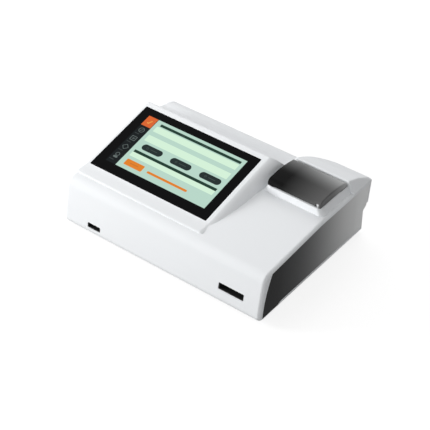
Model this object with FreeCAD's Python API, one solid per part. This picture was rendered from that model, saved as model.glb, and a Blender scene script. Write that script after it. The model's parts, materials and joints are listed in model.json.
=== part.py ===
"""Bench fluorescence immunoassay analyzer, modelled in millimetres.

The origin is on the ground under the middle of the analyzer, X to its right, Y to its back, Z up.
"""

import FreeCAD
import Part

import math
import os

V = FreeCAD.Vector

# Whole body
body_width = 296.0
body_depth = 226.0
foot_height = 2.5
foot_radius = 8.0
housing_lift = 0.6
wall = 2.5
side_wall = 4.6
fit_gap = 0.3

# Front face, deck and rear face, seen from the side
front_mid_height = 34.0
front_mid_setback = 4.8
front_top_setback = 11.4
front_top_height = 65.2
front_mid_round = 200.0
front_top_round = 12.0
front_bottom_round = 8.0
deck_height = 73.5
deck_bend_setback = 121.0
deck_bend_round = 120.0
rear_top_round = 25.0
overhang_height = 38.0
overhang_setback = 5.0
overhang_round = 2.0
recess_height = 33.5
recess_setback = 11.5
recess_round = 1.0
rear_bottom_round = 2.0
side_edge_round = 4.0

# Raised plinth that carries the screen
screen_tilt = 12.77
glass_width = 178.5
glass_length = 110.75
glass_thick = 1.8
glass_corner = 1.2
glass_side_margin = 5.7
glass_front_setback = 46.35
glass_front_rise = 3.56
plinth_side_rim = 4.0
plinth_right_rim = 5.6
plinth_front_setback = 25.5
plinth_front_step = 1.8
plinth_back_rim = 8.4
plinth_back_fall = 48.0
plinth_back_cove = 30.0
plinth_wall_lean = 18.0
plinth_edge_round = 2.4
plinth_shoulder_round = 17.0
plinth_shoulder_bite = 0.15
plinth_back_round = 3.5
cove_bite = 0.2

# Display behind the glass
lcd_width = 165.0
lcd_length = 100.0
lcd_thick = 5.6
lcd_gap = 0.5
ledge_thick = 2.6
bracket_sheet = 1.2
bracket_boss_radius = 3.6
bracket_boss_inset = 2.2
screw_radius = 1.25
screw_head_radius = 2.4
screw_head_height = 1.4
screw_bite = 4.0
post_screw_bite = 8.0
post_screw_extra = 0.25

# Glossy side panels
panel_thick = 2.0
panel_sink = 0.3
panel_gap = 0.15
panel_front_setback = 24.6
panel_top_gap = 3.4
panel_front_bow = 2.8
panel_tip_setback = 7.5
panel_tip_height = 6.2
panel_step_setback = 43.0
panel_low_height = 9.0
panel_corner = 1.6
panel_rear_inset = 2.25

# Slots in the front face
card_slot_inset = 42.0
card_slot_width = 36.0
card_slot_height = 9.2
card_slot_z = 27.5
chip_slot_inset = 47.5
chip_slot_width = 20.0
chip_slot_height = 7.0
chip_slot_z = 17.0
slot_corner = 1.4
liner_gap = 0.2
liner_wall = 0.9
liner_sink = 0.5

# Base pan
pan_margin = 9.0
pan_rebate = 3.0
pan_lip = 1.2
pan_plate = 2.4
pan_post_radius = 4.0
front_post_x = -20.0
pan_post_left_shift = 17.0
pan_post_front_inset = 30.0
pan_post_rear_inset = 34.0
foot_inset = 24.0
foot_cap_height = 2.0
vent_count = 9
vent_pitch = 7.0
vent_width = 3.0
vent_length = 34.0

# Rear panel and its sockets
rear_panel_margin = 20.0
rear_panel_sink = 0.5
rear_panel_bite = 0.1
rear_panel_low = 8.5
rear_panel_high = 31.5
rear_panel_thick = 2.0
rear_panel_flange = 3.0
board_thick = 1.6
main_board_inset = 26.0
main_board_width = 128.0
main_board_length = 104.7
chip_large_half = 7.0
chip_small_half = 4.5
chip_rise = 1.5
can_radius = 3.5
can_rise = 7.0
header_width = 6.0
header_length = 14.0
header_inset = 1.0
header_rise = 7.0
header_wall = 1.0
header_floor = 2.0
main_board_height = 11.5
port_stand_out = 0.8
power_inlet_inset = 44.0
power_inlet_width = 9.0
power_inlet_height = 11.0
power_inlet_depth = 14.0
power_inlet_bore = 3.2
power_inlet_pin = 1.0
usb_offset = 26.0
usb_pitch = 20.0
usb_width = 13.2
usb_height = 5.8
usb_depth = 14.0
usb_shell = 0.4
network_offset = 52.0
network_width = 16.0
network_height = 13.2
network_depth = 20.0
network_wall = 1.2
switch_inset = 112.0
switch_z = 20.0
switch_width = 19.0
switch_height = 13.0
switch_depth = 14.0
switch_rim = 1.0
switch_frame = 1.6
switch_tab_thick = 0.8
switch_tab_width = 4.0
switch_tab_length = 5.0
rocker_tilt = 11.0
rocker_gap = 0.4

# Card reader mechanism
reader_sheet = 1.6
reader_height = 9.0
reader_reach_left = 48.0
reader_reach_right = 36.0
reader_setback = 15.0
reader_length = 114.0
rod_radius = 2.0
rod_spread = 28.0
rod_z = 17.0
running_gap = 0.05
carriage_length = 36.0
carriage_setback = 16.0
carriage_low = 12.8
carriage_high = 21.6
carriage_shoulder = 3.4
carriage_roof = 2.4
home_sensor_offset = 10.5
flag_thick = 1.0
flag_inset = 3.0
flag_length = 6.0
flag_drop = 5.2
gate_gap = 3.2
gate_post = 3.0
gate_depth = 5.0
gate_base = 2.6
gate_height = 6.6
tray_setback = 2.0
tray_length = 62.0
tray_wall = 2.0
tray_gap = 0.3
tray_notch_back = 24.0
tray_notch_length = 8.0
guide_length = 6.0
guide_wall = 3.0
belt_offset = 8.0
belt_width = 5.4
belt_thick = 0.9
belt_gap = 0.3
belt_pitch = 2.0
pulley_teeth = 18
pulley_z = 24.0
pulley_tooth_depth = 0.25
groove_depth = 0.5
pulley_width = 6.0
pulley_flange = 0.8
pulley_flange_rise = 1.7
drive_inset = 11.0
idler_inset = 12.0
pin_plate_half = 7.0
pin_plate_rise = 6.0
motor_rear_cover = 2.5
motor_radius = 12.5
motor_length = 15.0
motor_shaft_radius = 1.0
motor_edge = 1.0
motor_ear = 3.0
motor_ear_half = 3.5
bracket_reach = 4.5
bracket_drop = 6.0
bracket_foot = 5.0
idler_pin_radius = 1.5
clamp_setback = 16.0
clamp_length = 12.0
clamp_jaw = 1.6

# Optical head above the card path
head_width = 36.0
head_length = 36.0
head_setback = 35.0
head_low = 33.0
head_height = 23.0
detector_board_inset = 2.0
detector_radius = 5.0
detector_rise = 1.5
detector_header_rise = 5.0
bridge_sheet = 1.6
lens_radius = 6.0
lens_thick = 4.0
lens_bulge = 1.6
optic_gap = 0.1
lens_seat = 2.0
filter_thick = 2.0
filter_height = 17.0
mirror_height = 10.5
mirror_thick = 1.0
mirror_length = 11.2
mirror_groove = 1.2
led_radius = 2.5
led_length = 8.6

# Chip reader behind the left slot
chip_board_width = 46.0
chip_board_length = 34.0
chip_board_setback = 9.0
chip_socket_wall = 2.0
chip_socket_length = 20.0
chip_socket_gap = 0.3

# Printer bay
printer_inset = 48.3
lid_width = 75.8
bay_front_lip = 1.4
bay_rise = 8.5
bay_side_foot = 5.0
bay_front_foot = 1.2
bay_edge_round = 1.6
fairing_foot_spread = 14.0
fairing_rear_rise = 2.0
fairing_top_drop = 0.6
fairing_edge_round = 4.0
fairing_right_spread = 2.0
fairing_top_setback = 17.0
fairing_low_sweep = 60.0
fairing_high_sweep = 30.0
fairing_crest_round = 2.0
lid_length = 49.1
paper_exit = 1.0
lid_seat_gap = 0.4
lid_thick = 2.2
lid_front_rise = 7.8
lid_front_round = 6.0
lid_crown_setback = 21.5
lid_crown_rise = 10.2
lid_crown_round = 110.0
hinge_setback = 45.5
lid_tail_radius = 6.5
lid_tail_gap = 1.2
hinge_pin_radius = 1.5
ear_thick = 2.4
bin_width = 60.0
bin_radius = 18.5
bin_setback = 23.5
bin_drop = 14.0
bin_wall = 2.0
bin_front_wall = 2.6
flange_thick = 2.0
roller_setback = 9.6
roller_rise = 2.8
roller_radius = 3.1
roller_length = 57.0
roller_shaft_radius = 1.5
arm_thick = 2.4
bush_radius = 2.6
head_strip_width = 10.0
bay_rim = 4.4
button_inset = 4.9
button_setback = 3.2
button_width = 3.8
button_length = 4.4
button_rise = 3.4
button_stem = 2.0

# Values worked out from the ones above
half_width = body_width / 2
front_y = -body_depth / 2
rear_y = body_depth / 2
base_z = foot_height + housing_lift
tilt = math.radians(screen_tilt)
deck_bend_y = front_y + deck_bend_setback
glass_left = -half_width + glass_side_margin
glass_front_y = front_y + glass_front_setback
glass_front_height = front_top_height + glass_front_rise
plinth_front_y = front_y + plinth_front_setback
panel_front_y = front_y + panel_front_setback
panel_tip_y = front_y + panel_tip_setback
panel_step_y = front_y + panel_step_setback
card_slot_x = half_width - card_slot_inset
chip_slot_x = -half_width + chip_slot_inset
card_mouth_width = card_slot_width - 2 * (liner_gap + liner_wall)
card_mouth_height = card_slot_height - 2 * (liner_gap + liner_wall)
chip_mouth_width = chip_slot_width - 2 * (liner_gap + liner_wall)
chip_mouth_height = chip_slot_height - 2 * (liner_gap + liner_wall)
glass_back_y = glass_front_y + glass_length * math.cos(tilt)
plinth_right_x = glass_left + glass_width + plinth_right_rim
pan_top = base_z + pan_lip + pan_plate
deck_slope = (deck_height - front_top_height) / (deck_bend_y - front_y - front_top_setback)
pulley_pitch_radius = pulley_teeth * belt_pitch / (2 * math.pi)
belt_inner_radius = pulley_pitch_radius + belt_gap - pulley_tooth_depth
printer_x = half_width - printer_inset
lid_left = printer_x - lid_width / 2
lid_right = printer_x + lid_width / 2
bay_top = deck_height + bay_rise
lid_low = bay_top + lid_seat_gap
lid_front_low = lid_low + paper_exit
lid_front_top = lid_low + lid_front_rise
lid_crown_height = lid_low + lid_crown_rise
hinge_y = rear_y - hinge_setback
hinge_z = lid_low
lid_front_y = hinge_y - lid_length
lid_crown_y = hinge_y - lid_crown_setback
bay_front_y = lid_front_y - bay_front_lip
roller_y = lid_front_y + roller_setback
roller_z = lid_low + roller_rise
bin_y = hinge_y - bin_setback
bin_z = bay_top - bin_drop
bin_front_wall_y = lid_front_y + bin_front_wall
button_x = lid_right - button_inset
button_y = lid_front_y + button_setback
fairing_rear_height = deck_height + fairing_rear_rise
recess_y = rear_y - recess_setback
panel_inner_y = recess_y - wall - rear_panel_thick
board_rear = panel_inner_y - fit_gap
board_top = main_board_height + board_thick
rear_panel_half = half_width - rear_panel_margin
main_board_left = -half_width + main_board_inset
main_board_right = main_board_left + main_board_width
main_board_front = board_rear - main_board_length
power_inlet_x = -half_width + power_inlet_inset
usb_first_x = power_inlet_x + usb_offset
network_x = usb_first_x + network_offset
switch_x = half_width - switch_inset
reader_left = card_slot_x - reader_reach_left
reader_right = card_slot_x + reader_reach_right
reader_front = front_y + reader_setback
reader_back = reader_front + reader_length
carriage_front = reader_front + carriage_setback
tray_front = reader_front + tray_setback
home_sensor_x = card_slot_x - home_sensor_offset
motor_plate_x = reader_left
belt_x = motor_plate_x + belt_offset
idler_y = reader_front + idler_inset
drive_y = reader_back - drive_inset
clamp_y = carriage_front + clamp_setback
head_y = carriage_front + head_setback
chip_board_front = front_y + chip_board_setback
tray_inner = card_mouth_width + 2 * tray_gap
card_low = card_slot_z - card_mouth_height / 2 + tray_gap
optic_x = card_slot_x
bridge_low = head_low - bridge_sheet
bay_opening_left = lid_left + bay_rim
bay_seat_z = bay_top - wall
ear_left = printer_x - bin_width / 2 - ear_thick
arm_left = printer_x - roller_length / 2 - fit_gap - arm_thick


def box(x0, x1, y0, y1, z0, z1):
    """Block between two corners."""
    return Part.makeBox(x1 - x0, y1 - y0, z1 - z0, V(x0, y0, z0))


def rod(radius, start, end):
    """Round bar from one point to another."""
    along = end - start
    return Part.makeCylinder(radius, along.Length, start, along)


def edges_where(shape, test):
    """Edges whose two end points both pass the test."""
    picked = []
    for edge in shape.Edges:
        if len(edge.Vertexes) == 2 and all(test(v.Point) for v in edge.Vertexes):
            picked.append(edge)
    return picked


def rounded_block(x0, x1, y0, y1, z0, z1, radius):
    """Block with its four upright edges rounded."""
    block = box(x0, x1, y0, y1, z0, z1)
    upright = [e for e in block.Edges if abs(e.tangentAt(0).z) > 0.9]
    return block.makeFillet(radius, upright)


def side_point(y, z):
    """Point of a side view."""
    return V(0, y, z)


def rounded_wire(corners, point=side_point):
    """Closed wire through corners given by two coordinates and the radius of the corner's arc."""
    edges = []
    count = len(corners)
    starts = []
    for i, (first, second, radius) in enumerate(corners):
        here = point(first, second)
        before = point(*corners[i - 1][:2]) - here
        after = point(*corners[(i + 1) % count][:2]) - here
        before.normalize()
        after.normalize()
        half = before.getAngle(after) / 2
        if radius <= 0:
            starts.append((here, None, here))
            continue
        reach = radius / math.tan(half)
        bisector = before + after
        bisector.normalize()
        middle = here + bisector * (radius / math.sin(half) - radius)
        starts.append((here + before * reach, middle, here + after * reach))
    for i, (first, middle, last) in enumerate(starts):
        if middle is not None:
            edges.append(Part.Arc(first, middle, last).toShape())
        following = starts[(i + 1) % count][0]
        if (following - last).Length > 1e-6:
            edges.append(Part.LineSegment(last, following).toShape())
    return Part.Wire(edges)


def prism_x(wire, x0, x1):
    """Solid of a side profile, between two places along the width."""
    face = Part.Face(wire)
    face.translate(V(x0, 0, 0))
    return face.extrude(V(x1 - x0, 0, 0))


def inset_wire(wire, inset):
    """The profile drawn in by a distance."""
    if inset <= 0:
        return wire
    return Part.Face(wire).makeOffset2D(-inset).Wires[0]


def tilted(shape):
    """Turn a shape drawn flat into the plane of the glass, whose front left corner is the origin."""
    moved = shape.copy()
    moved.rotate(V(0, 0, 0), V(1, 0, 0), screen_tilt)
    moved.translate(V(glass_left, glass_front_y, glass_front_height))
    return moved


def deck_z(y):
    """Height of the deck at a depth."""
    if y > deck_bend_y:
        return deck_height
    return deck_height - (deck_bend_y - y) * deck_slope


def rear_face_y(z):
    """Depth of the leaning upper rear face at a height."""
    lean = overhang_setback / (deck_height - overhang_height)
    return rear_y - (deck_height - z) * lean


def body_wire():
    """Side view of the main body: bowed front, rising deck, rounded back and socket recess."""
    return rounded_wire([
        (front_y, base_z, front_bottom_round),
        (front_y + front_mid_setback, front_mid_height, front_mid_round),
        (front_y + front_top_setback, front_top_height, front_top_round),
        (deck_bend_y, deck_height, deck_bend_round),
        (rear_y, deck_height, rear_top_round),
        (rear_y - overhang_setback, overhang_height, overhang_round),
        (rear_y - recess_setback, recess_height, recess_round),
        (rear_y - recess_setback, base_z, rear_bottom_round),
    ])


def body_form(inset, side_inset):
    """Main body without the plinth and the printer bay."""
    reach = half_width - side_inset
    form = prism_x(inset_wire(body_wire(), inset), -reach, reach)
    radius = side_edge_round if inset == 0 else side_edge_round - wall
    sides = []
    for edge in form.Edges:
        box_of = edge.BoundBox
        if box_of.XLength < 0.01 and box_of.ZMax > base_z + wall + 1:
            sides.append(edge)
    return form.makeFillet(radius, sides)


def plinth_plane_z(y):
    """Height of the screen plane at a depth."""
    return glass_front_height + (y - glass_front_y) * math.tan(tilt)


def plinth_wire():
    """Side view of the screen plinth: low front step, screen slope, steep back with a cove at its foot."""
    buried = deck_height - rear_top_round
    front_top = deck_z(plinth_front_y) + plinth_front_step
    rim_y = glass_front_y - plinth_side_rim * math.cos(tilt)
    back_y = glass_back_y + plinth_back_rim
    back_z = plinth_plane_z(back_y)
    foot_z = deck_height - cove_bite
    foot_y = back_y + (back_z - foot_z) / math.tan(math.radians(plinth_back_fall))
    cove_reach = plinth_back_cove * math.tan(math.radians(plinth_back_fall / 2))
    return rounded_wire([
        (plinth_front_y, buried, 0),
        (plinth_front_y, front_top, 0),
        (rim_y, plinth_plane_z(rim_y), plinth_back_cove),
        (back_y, back_z, plinth_back_round),
        (foot_y, foot_z, plinth_back_cove),
        (foot_y + cove_reach + 1, foot_z, 0),
        (foot_y + cove_reach + 1, buried, 0),
    ])


def plinth_tops():
    """Depth and height of the plinth's top where its slope changes."""
    front_top = deck_z(plinth_front_y) + plinth_front_step
    rim_y = glass_front_y - plinth_side_rim * math.cos(tilt)
    rim_z = plinth_plane_z(rim_y)
    ahead_y = plinth_front_y - wall
    ahead_z = front_top - wall * (rim_z - front_top) / (rim_y - plinth_front_y)
    return [(ahead_y, ahead_z), (rim_y, rim_z), (rear_y, plinth_plane_z(rear_y))]


def plinth_side_cutter(inset):
    """Everything outside the plinth's round right shoulder and its leaning wall."""
    lean = math.radians(plinth_wall_lean)
    radius = plinth_shoulder_round - inset
    crest = math.sqrt(2 * plinth_shoulder_round * plinth_shoulder_bite)
    centre_x = plinth_right_x - crest
    down = V(math.sin(lean), 0, -math.cos(lean))
    half_turn = (math.pi / 2 + lean) / 2
    sections = []
    for y, top in plinth_tops():
        centre = V(centre_x, y, top + plinth_shoulder_bite - plinth_shoulder_round)
        start = centre + V(0, 0, radius)
        middle = centre + V(math.cos(half_turn), 0, math.sin(half_turn)) * radius
        end = centre + V(math.cos(lean), 0, math.sin(lean)) * radius
        corners = [end, end + down * deck_height, V(body_width, y, end.z - deck_height),
                   V(body_width, y, top + plinth_shoulder_round), V(centre_x, y, top + plinth_shoulder_round),
                   start]
        edges = [Part.LineSegment(a, b).toShape() for a, b in zip(corners, corners[1:])]
        sections.append(Part.Wire([Part.Arc(start, middle, end).toShape()] + edges))
    return Part.makeLoft(sections, True, True)


def plinth_form(inset, side_inset):
    """Screen plinth, which reaches down into the main body."""
    far_right = plinth_right_x + deck_height
    form = prism_x(inset_wire(plinth_wire(), inset), -half_width + side_inset, far_right)
    form = form.cut(plinth_side_cutter(inset))
    if inset > 0:
        return form
    left_corner = edges_where(form, lambda p: abs(p.y - plinth_front_y) < 0.01 and p.x < -half_width + 0.1)
    form = form.makeFillet(plinth_edge_round, left_corner)
    low = deck_height - rear_top_round + 0.1
    brow = edges_where(form, lambda p: abs(p.y - plinth_front_y) < 0.01 and p.x > -half_width + 0.1 and p.z > low)
    return form.makeFillet(plinth_edge_round, brow)


def bay_form(inset):
    """Printer bay: a low block with drafted walls that the lid closes."""
    buried = deck_height - wall - side_edge_round / 2
    drop = bay_top - deck_height
    depth = bay_top - inset - buried
    back = hinge_y + lid_tail_radius + 2 * wall

    def outline(z, spread):
        side = spread * bay_side_foot
        front = spread * bay_front_foot
        x0, x1 = lid_left - fit_gap - side + inset, lid_right + fit_gap + side - inset
        y0, y1 = bay_front_y - front + inset, back
        radius = max(bay_side_foot + bay_edge_round - inset, 1)
        flat = rounded_block(x0, x1, y0, y1, z, z + 1, radius)
        for face in flat.Faces:
            if abs(face.CenterOfMass.z - z) < 1e-6:
                return face.OuterWire
        raise ValueError("the printer bay has no lower outline")

    low = outline(buried, depth / drop)
    high = outline(bay_top - inset, 0)
    form = Part.makeLoft([low, high], True, True)
    if inset > 0:
        return form
    brim = edges_where(form, lambda p: abs(p.z - bay_top) < 0.01)
    return form.makeFillet(bay_edge_round, brim)


def fairing_plan(z, left, right, back, corner):
    """Plan of the fairing at a height, with its swept left rear corner."""
    return rounded_wire([
        (left, lid_front_y, 0),
        (right, lid_front_y, 0),
        (right, back, fairing_edge_round),
        (left, back, corner),
    ], lambda x, y: V(x, y, z))


def fairing_form(inset):
    """Sloping cover behind the printer lid, which runs out to the back edge."""
    front = hinge_y + lid_tail_radius + lid_tail_gap
    top = hinge_z + lid_tail_radius - fairing_top_drop
    buried = overhang_height + 2 * overhang_round
    foot = deck_height - wall
    middle_y = (front + rear_y) / 2
    middle_z = (top + fairing_rear_height) / 2 + fairing_edge_round / 2
    wire = rounded_wire([
        (front, buried, 0),
        (front, top, wall / 2 + 1),
        (middle_y, middle_z, 6 * fairing_edge_round),
        (rear_face_y(fairing_rear_height), fairing_rear_height, fairing_edge_round),
        (rear_face_y(buried), buried, 0),
    ])
    if inset > 0:
        wire = inset_wire(wire, inset)
    profile = prism_x(wire, 0, half_width - (side_wall if inset else 0))
    low = fairing_plan(foot, lid_left - fairing_foot_spread + inset, half_width + fairing_right_spread - inset,
                       rear_y + fairing_edge_round - inset, fairing_low_sweep)
    high = fairing_plan(top + 1, lid_left + inset, lid_right - inset, rear_y - fairing_top_setback - inset,
                        fairing_high_sweep)
    mound = Part.makeLoft([low, high], True, True).common(profile)
    base = Part.Face(low).extrude(V(0, 0, buried - foot)).common(profile)
    if inset > 0:
        return mound.fuse(base)
    crest = [e for e in mound.Edges
             if e.BoundBox.ZMin > fairing_rear_height and e.BoundBox.YLength > fairing_edge_round]
    return mound.makeFillet(fairing_crest_round, crest).fuse(base)


def outer_form():
    """Outside of the white housing."""
    form = body_form(0, 0)
    for piece in (plinth_form(0, 0), bay_form(0), fairing_form(0)):
        form = form.fuse(piece)
    return form.removeSplitter()


def inner_form():
    """Space inside the white housing."""
    form = body_form(wall, side_wall)
    for piece in (plinth_form(wall, side_wall), bay_form(wall), fairing_form(wall)):
        form = form.fuse(piece)
    return form


def panel_wire(gap, rear_top_corner):
    """Outline of a glossy side panel, a gap inside its pocket."""
    front_low = V(0, panel_tip_y, panel_tip_height)
    front_high = V(0, panel_front_y, deck_z(panel_front_y) - panel_top_gap)
    chord = front_high - front_low
    outward = V(0, -chord.z, chord.y)
    outward.normalize()
    bow = front_low + chord * 0.5 + outward * (2 * panel_front_bow)
    turn = 2 * math.atan(4 * panel_front_bow / chord.Length)
    bow_round = 0.45 * chord.Length / math.tan(turn / 2)
    lean = overhang_setback / (deck_height - overhang_height)
    rear_high_z = deck_height - panel_top_gap - wall
    wire = rounded_wire([
        (front_low.y, front_low.z, panel_corner),
        (bow.y, bow.z, bow_round),
        (front_high.y, front_high.z, panel_corner),
        (deck_bend_y, deck_height - panel_top_gap, deck_bend_round),
        (rear_y - rear_top_round - panel_top_gap, deck_height - panel_top_gap, rear_top_round / 2),
        (rear_face_y(rear_high_z) - panel_rear_inset, rear_high_z, rear_top_corner),
        (rear_face_y(overhang_height) - panel_rear_inset, overhang_height, panel_corner / 2),
        (rear_y - recess_setback - panel_rear_inset, recess_height + panel_rear_inset * lean, panel_corner / 2),
        (rear_y - recess_setback - panel_rear_inset, panel_low_height, panel_corner),
        (panel_step_y, panel_low_height, panel_corner),
        (panel_step_y - panel_corner * 3, panel_tip_height, panel_corner),
    ])
    return inset_wire(wire, gap)


def side_panel(side):
    """Glossy panel that lies in its pocket in one side of the housing."""
    outer = half_width - panel_sink
    return panel_block(side, panel_gap, outer - panel_thick, outer)


def panel_block(side, gap, x0, x1):
    """Slab of a side panel's outline; the left one follows the round back of the body."""
    if side > 0:
        return prism_x(panel_wire(gap, panel_corner), x0, x1)
    block = prism_x(panel_wire(gap, rear_top_round - panel_top_gap), x0, x1)
    return block.mirror(V(0, 0, 0), V(1, 0, 0))


def post_places():
    """Where the screw posts stand between the deck and the base pan."""
    left = -half_width + pan_margin + pan_rebate + pan_post_radius + 1
    front = front_y + pan_post_front_inset
    rear = rear_y - pan_post_rear_inset
    return [
        (left, front),
        (front_post_x, front - pan_post_radius),
        (reader_left - 2.5 * pan_post_radius, front - pan_post_radius),
        (left, rear - pan_post_left_shift),
        (switch_x - switch_width / 2 - 3 * pan_post_radius, rear),
        (-left, rear + pan_post_radius),
    ]


def pan_outline(spread, z0, z1):
    """Block under the floor opening, wider by a spread on each side."""
    reach = half_width - pan_margin - pan_rebate + spread
    y0 = front_y + pan_margin + pan_rebate + wall - spread
    y1 = rear_y - recess_setback - rear_panel_flange - wall - pan_rebate + spread
    return rounded_block(-reach, reach, y0, y1, z0, z1, pan_rebate)


def slot_cutter(x, z, width, height, y0, y1):
    """Letterbox slot with rounded corners, cut along the depth."""
    block = box(x - width / 2, x + width / 2, y0, y1, z - height / 2, z + height / 2)
    lengthwise = [e for e in block.Edges if abs(e.tangentAt(0).y) > 0.9]
    return block.makeFillet(slot_corner, lengthwise)


def slot_liner(x, z, width, height, y1):
    """Sleeve that lines a slot of the front wall, its end a little behind the face."""
    sleeve = slot_cutter(x, z, width - 2 * liner_gap, height - 2 * liner_gap, front_y, y1)
    return sleeve.common(prism_x(inset_wire(body_wire(), liner_sink), x - width, x + width))


def glass_block(spread, w0, w1, radius):
    """Block in the plane of the glass, wider than the glass by a spread."""
    flat = rounded_block(-spread, glass_width + spread, -spread, glass_length + spread, w0, w1, radius)
    return tilted(flat)


def lcd_block(spread, w0, w1):
    """Block in the plane of the glass, wider than the display by a spread."""
    x0 = (glass_width - lcd_width) / 2 - spread
    y0 = (glass_length - lcd_length) / 2 - spread
    return tilted(box(x0, x0 + lcd_width + 2 * spread, y0, y0 + lcd_length + 2 * spread, w0, w1))


def bracket_corners():
    """Flat places of the four display screws, beside the display's corners."""
    x0 = (glass_width - lcd_width) / 2 - bracket_boss_radius - lcd_gap / 2
    y0 = (glass_length - lcd_length) / 2 + bracket_boss_radius + bracket_boss_inset
    return [(x, y) for x in (x0, glass_width - x0) for y in (y0, glass_length - y0)]


def upper_housing():
    """White moulded shell: front, deck, plinth, printer bay and back in one piece."""
    outer = outer_form()
    shell = outer.cut(inner_form())
    ring = glass_block(wall / 2 + fit_gap, -glass_thick - ledge_thick, -glass_thick / 2, glass_corner)
    ring = ring.cut(lcd_block(lcd_gap, -2 * ledge_thick - glass_thick, 0))
    shell = shell.fuse(ring.common(outer))
    low = -glass_thick - lcd_thick
    for x, y in bracket_corners():
        boss = tilted(rod(bracket_boss_radius, V(x, y, low), V(x, y, -glass_thick - ledge_thick / 2)))
        shell = shell.fuse(boss.common(outer))
    for x, y in post_places():
        post = rod(pan_post_radius, V(x, y, pan_top), V(x, y, deck_height + plinth_back_cove))
        shell = shell.fuse(post.common(outer))
    shell = shell.cut(lcd_block(lcd_gap, -lcd_thick - glass_thick - 2 * bracket_sheet, 1))
    shell = shell.cut(glass_block(fit_gap, -glass_thick, wall * 2, glass_corner))
    for x, y in bracket_corners():
        pilot = tilted(rod(screw_radius, V(x, y, low - 1), V(x, y, -glass_thick - wall / 2)))
        shell = shell.cut(pilot)
    for x, y in post_places():
        shell = shell.cut(rod(screw_radius + post_screw_extra, V(x, y, pan_top - 1),
                              V(x, y, pan_top + post_screw_bite + 1)))
    for side in (-1, 1):
        shell = shell.cut(panel_block(side, 0, half_width - panel_sink - panel_thick, half_width + 1))
    shell = shell.cut(pan_outline(0, base_z - 1, base_z + wall + 1))
    shell = shell.cut(pan_outline(pan_rebate, base_z - 1, base_z + pan_lip))
    wall_y = rear_y - recess_setback
    shell = shell.cut(box(-rear_panel_half, rear_panel_half, wall_y - 2 * wall, wall_y + 1,
                          rear_panel_low, rear_panel_high))
    deep = front_y + 6 * wall
    shell = shell.cut(slot_cutter(card_slot_x, card_slot_z, card_slot_width, card_slot_height,
                                  front_y - 1, deep))
    shell = shell.cut(slot_cutter(chip_slot_x, chip_slot_z, chip_slot_width, chip_slot_height,
                                  front_y - 1, deep))
    shell = shell.cut(box(bay_opening_left, 2 * printer_x - bay_opening_left, bay_front_y + wall + 1, hinge_y,
                          deck_height - 2 * wall, bay_top + 1))
    shell = shell.cut(hinge_rod(lid_tail_radius + lid_tail_gap, lid_left - fit_gap, lid_right + fit_gap))
    shell = shell.cut(box(button_x - button_stem / 2 - fit_gap, button_x + button_stem / 2 + fit_gap,
                          button_y - button_stem / 2 - fit_gap, button_y + button_stem / 2 + fit_gap,
                          bay_top - 2 * wall, bay_top + 1))
    return shell


def base_pan():
    """Floor of the analyzer, with bosses for what stands on it and cooling slots."""
    pan = pan_outline(pan_rebate - fit_gap, base_z, base_z + pan_lip)
    pan = pan.fuse(pan_outline(-fit_gap, base_z + pan_lip / 2, pan_top))
    for x, y in reader_bosses():
        pan = pan.fuse(rod(pan_post_radius, V(x, y, base_z + 1), V(x, y, reader_height)))
    for x, y in main_board_bosses():
        pan = pan.fuse(rod(pan_post_radius - 1, V(x, y, base_z + 1), V(x, y, main_board_height)))
    for x, y in chip_board_bosses():
        pan = pan.fuse(rod(pan_post_radius - 1, V(x, y, base_z + 1), V(x, y, chip_board_z())))
    for x, y in post_places():
        pan = pan.cut(rod(screw_radius + post_screw_extra + running_gap, V(x, y, 0), V(x, y, pan_top + 1)))
        pan = pan.cut(rod(screw_head_radius + fit_gap, V(x, y, 0), V(x, y, base_z + screw_head_height)))
    for x, y in reader_bosses():
        pan = pan.cut(rod(screw_radius, V(x, y, base_z + 1), V(x, y, reader_height + 1)))
    for x, y in main_board_bosses():
        pan = pan.cut(rod(screw_radius, V(x, y, base_z + 1), V(x, y, main_board_height + 1)))
    for x, y in chip_board_bosses():
        pan = pan.cut(rod(screw_radius, V(x, y, base_z + 1), V(x, y, chip_board_z() + 1)))
    for x, y in foot_places():
        pan = pan.cut(rod(foot_radius / 3, V(x, y, 0), V(x, y, base_z + foot_cap_height)))
    middle = (main_board_left + main_board_right) / 2
    for i in range(vent_count):
        x = middle + (i - (vent_count - 1) / 2) * vent_pitch
        y = (front_y + main_board_front) / 2
        pan = pan.cut(box(x, x + vent_width, y, y + vent_length, 0, pan_top + 1))
    return pan


def foot_places():
    """Middles of the four rubber feet."""
    x = half_width - foot_inset
    return [(i * x, y) for i in (-1, 1) for y in (front_y + foot_inset, rear_y - recess_setback - foot_inset)]


def rubber_feet():
    """Four round feet with pegs that press into the pan."""
    feet = []
    for x, y in foot_places():
        foot = rod(foot_radius, V(x, y, 0), V(x, y, base_z))
        rims = [e for e in foot.Edges if abs(e.BoundBox.ZMax) < 0.01]
        foot = foot.makeChamfer(foot_height / 3, rims)
        feet.append(foot.fuse(rod(foot_radius / 3, V(x, y, 1), V(x, y, base_z + foot_cap_height))))
    return Part.makeCompound(feet)


def screw(x, y, seat, head_down, length, radius):
    """Pan head screw with a cross recess, along Z."""
    way = -1 if head_down else 1
    head = rod(screw_head_radius, V(x, y, seat), V(x, y, seat + way * screw_head_height))
    shank = rod(radius, V(x, y, seat), V(x, y, seat - way * length))
    whole = head.fuse(shank)
    top = seat + way * screw_head_height
    slot = screw_head_radius * 0.6
    for dx, dy in ((slot, screw_radius / 4), (screw_radius / 4, slot)):
        z0, z1 = sorted((top, top - way * screw_head_height / 2))
        whole = whole.cut(box(x - dx, x + dx, y - dy, y + dy, z0, z1))
    return whole


def base_screws():
    """Screws from below, through the pan into the posts."""
    seat = base_z + screw_head_height
    length = pan_top - seat + post_screw_bite
    return Part.makeCompound([screw(x, y, seat, True, length, screw_radius + post_screw_extra)
                              for x, y in post_places()])


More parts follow.
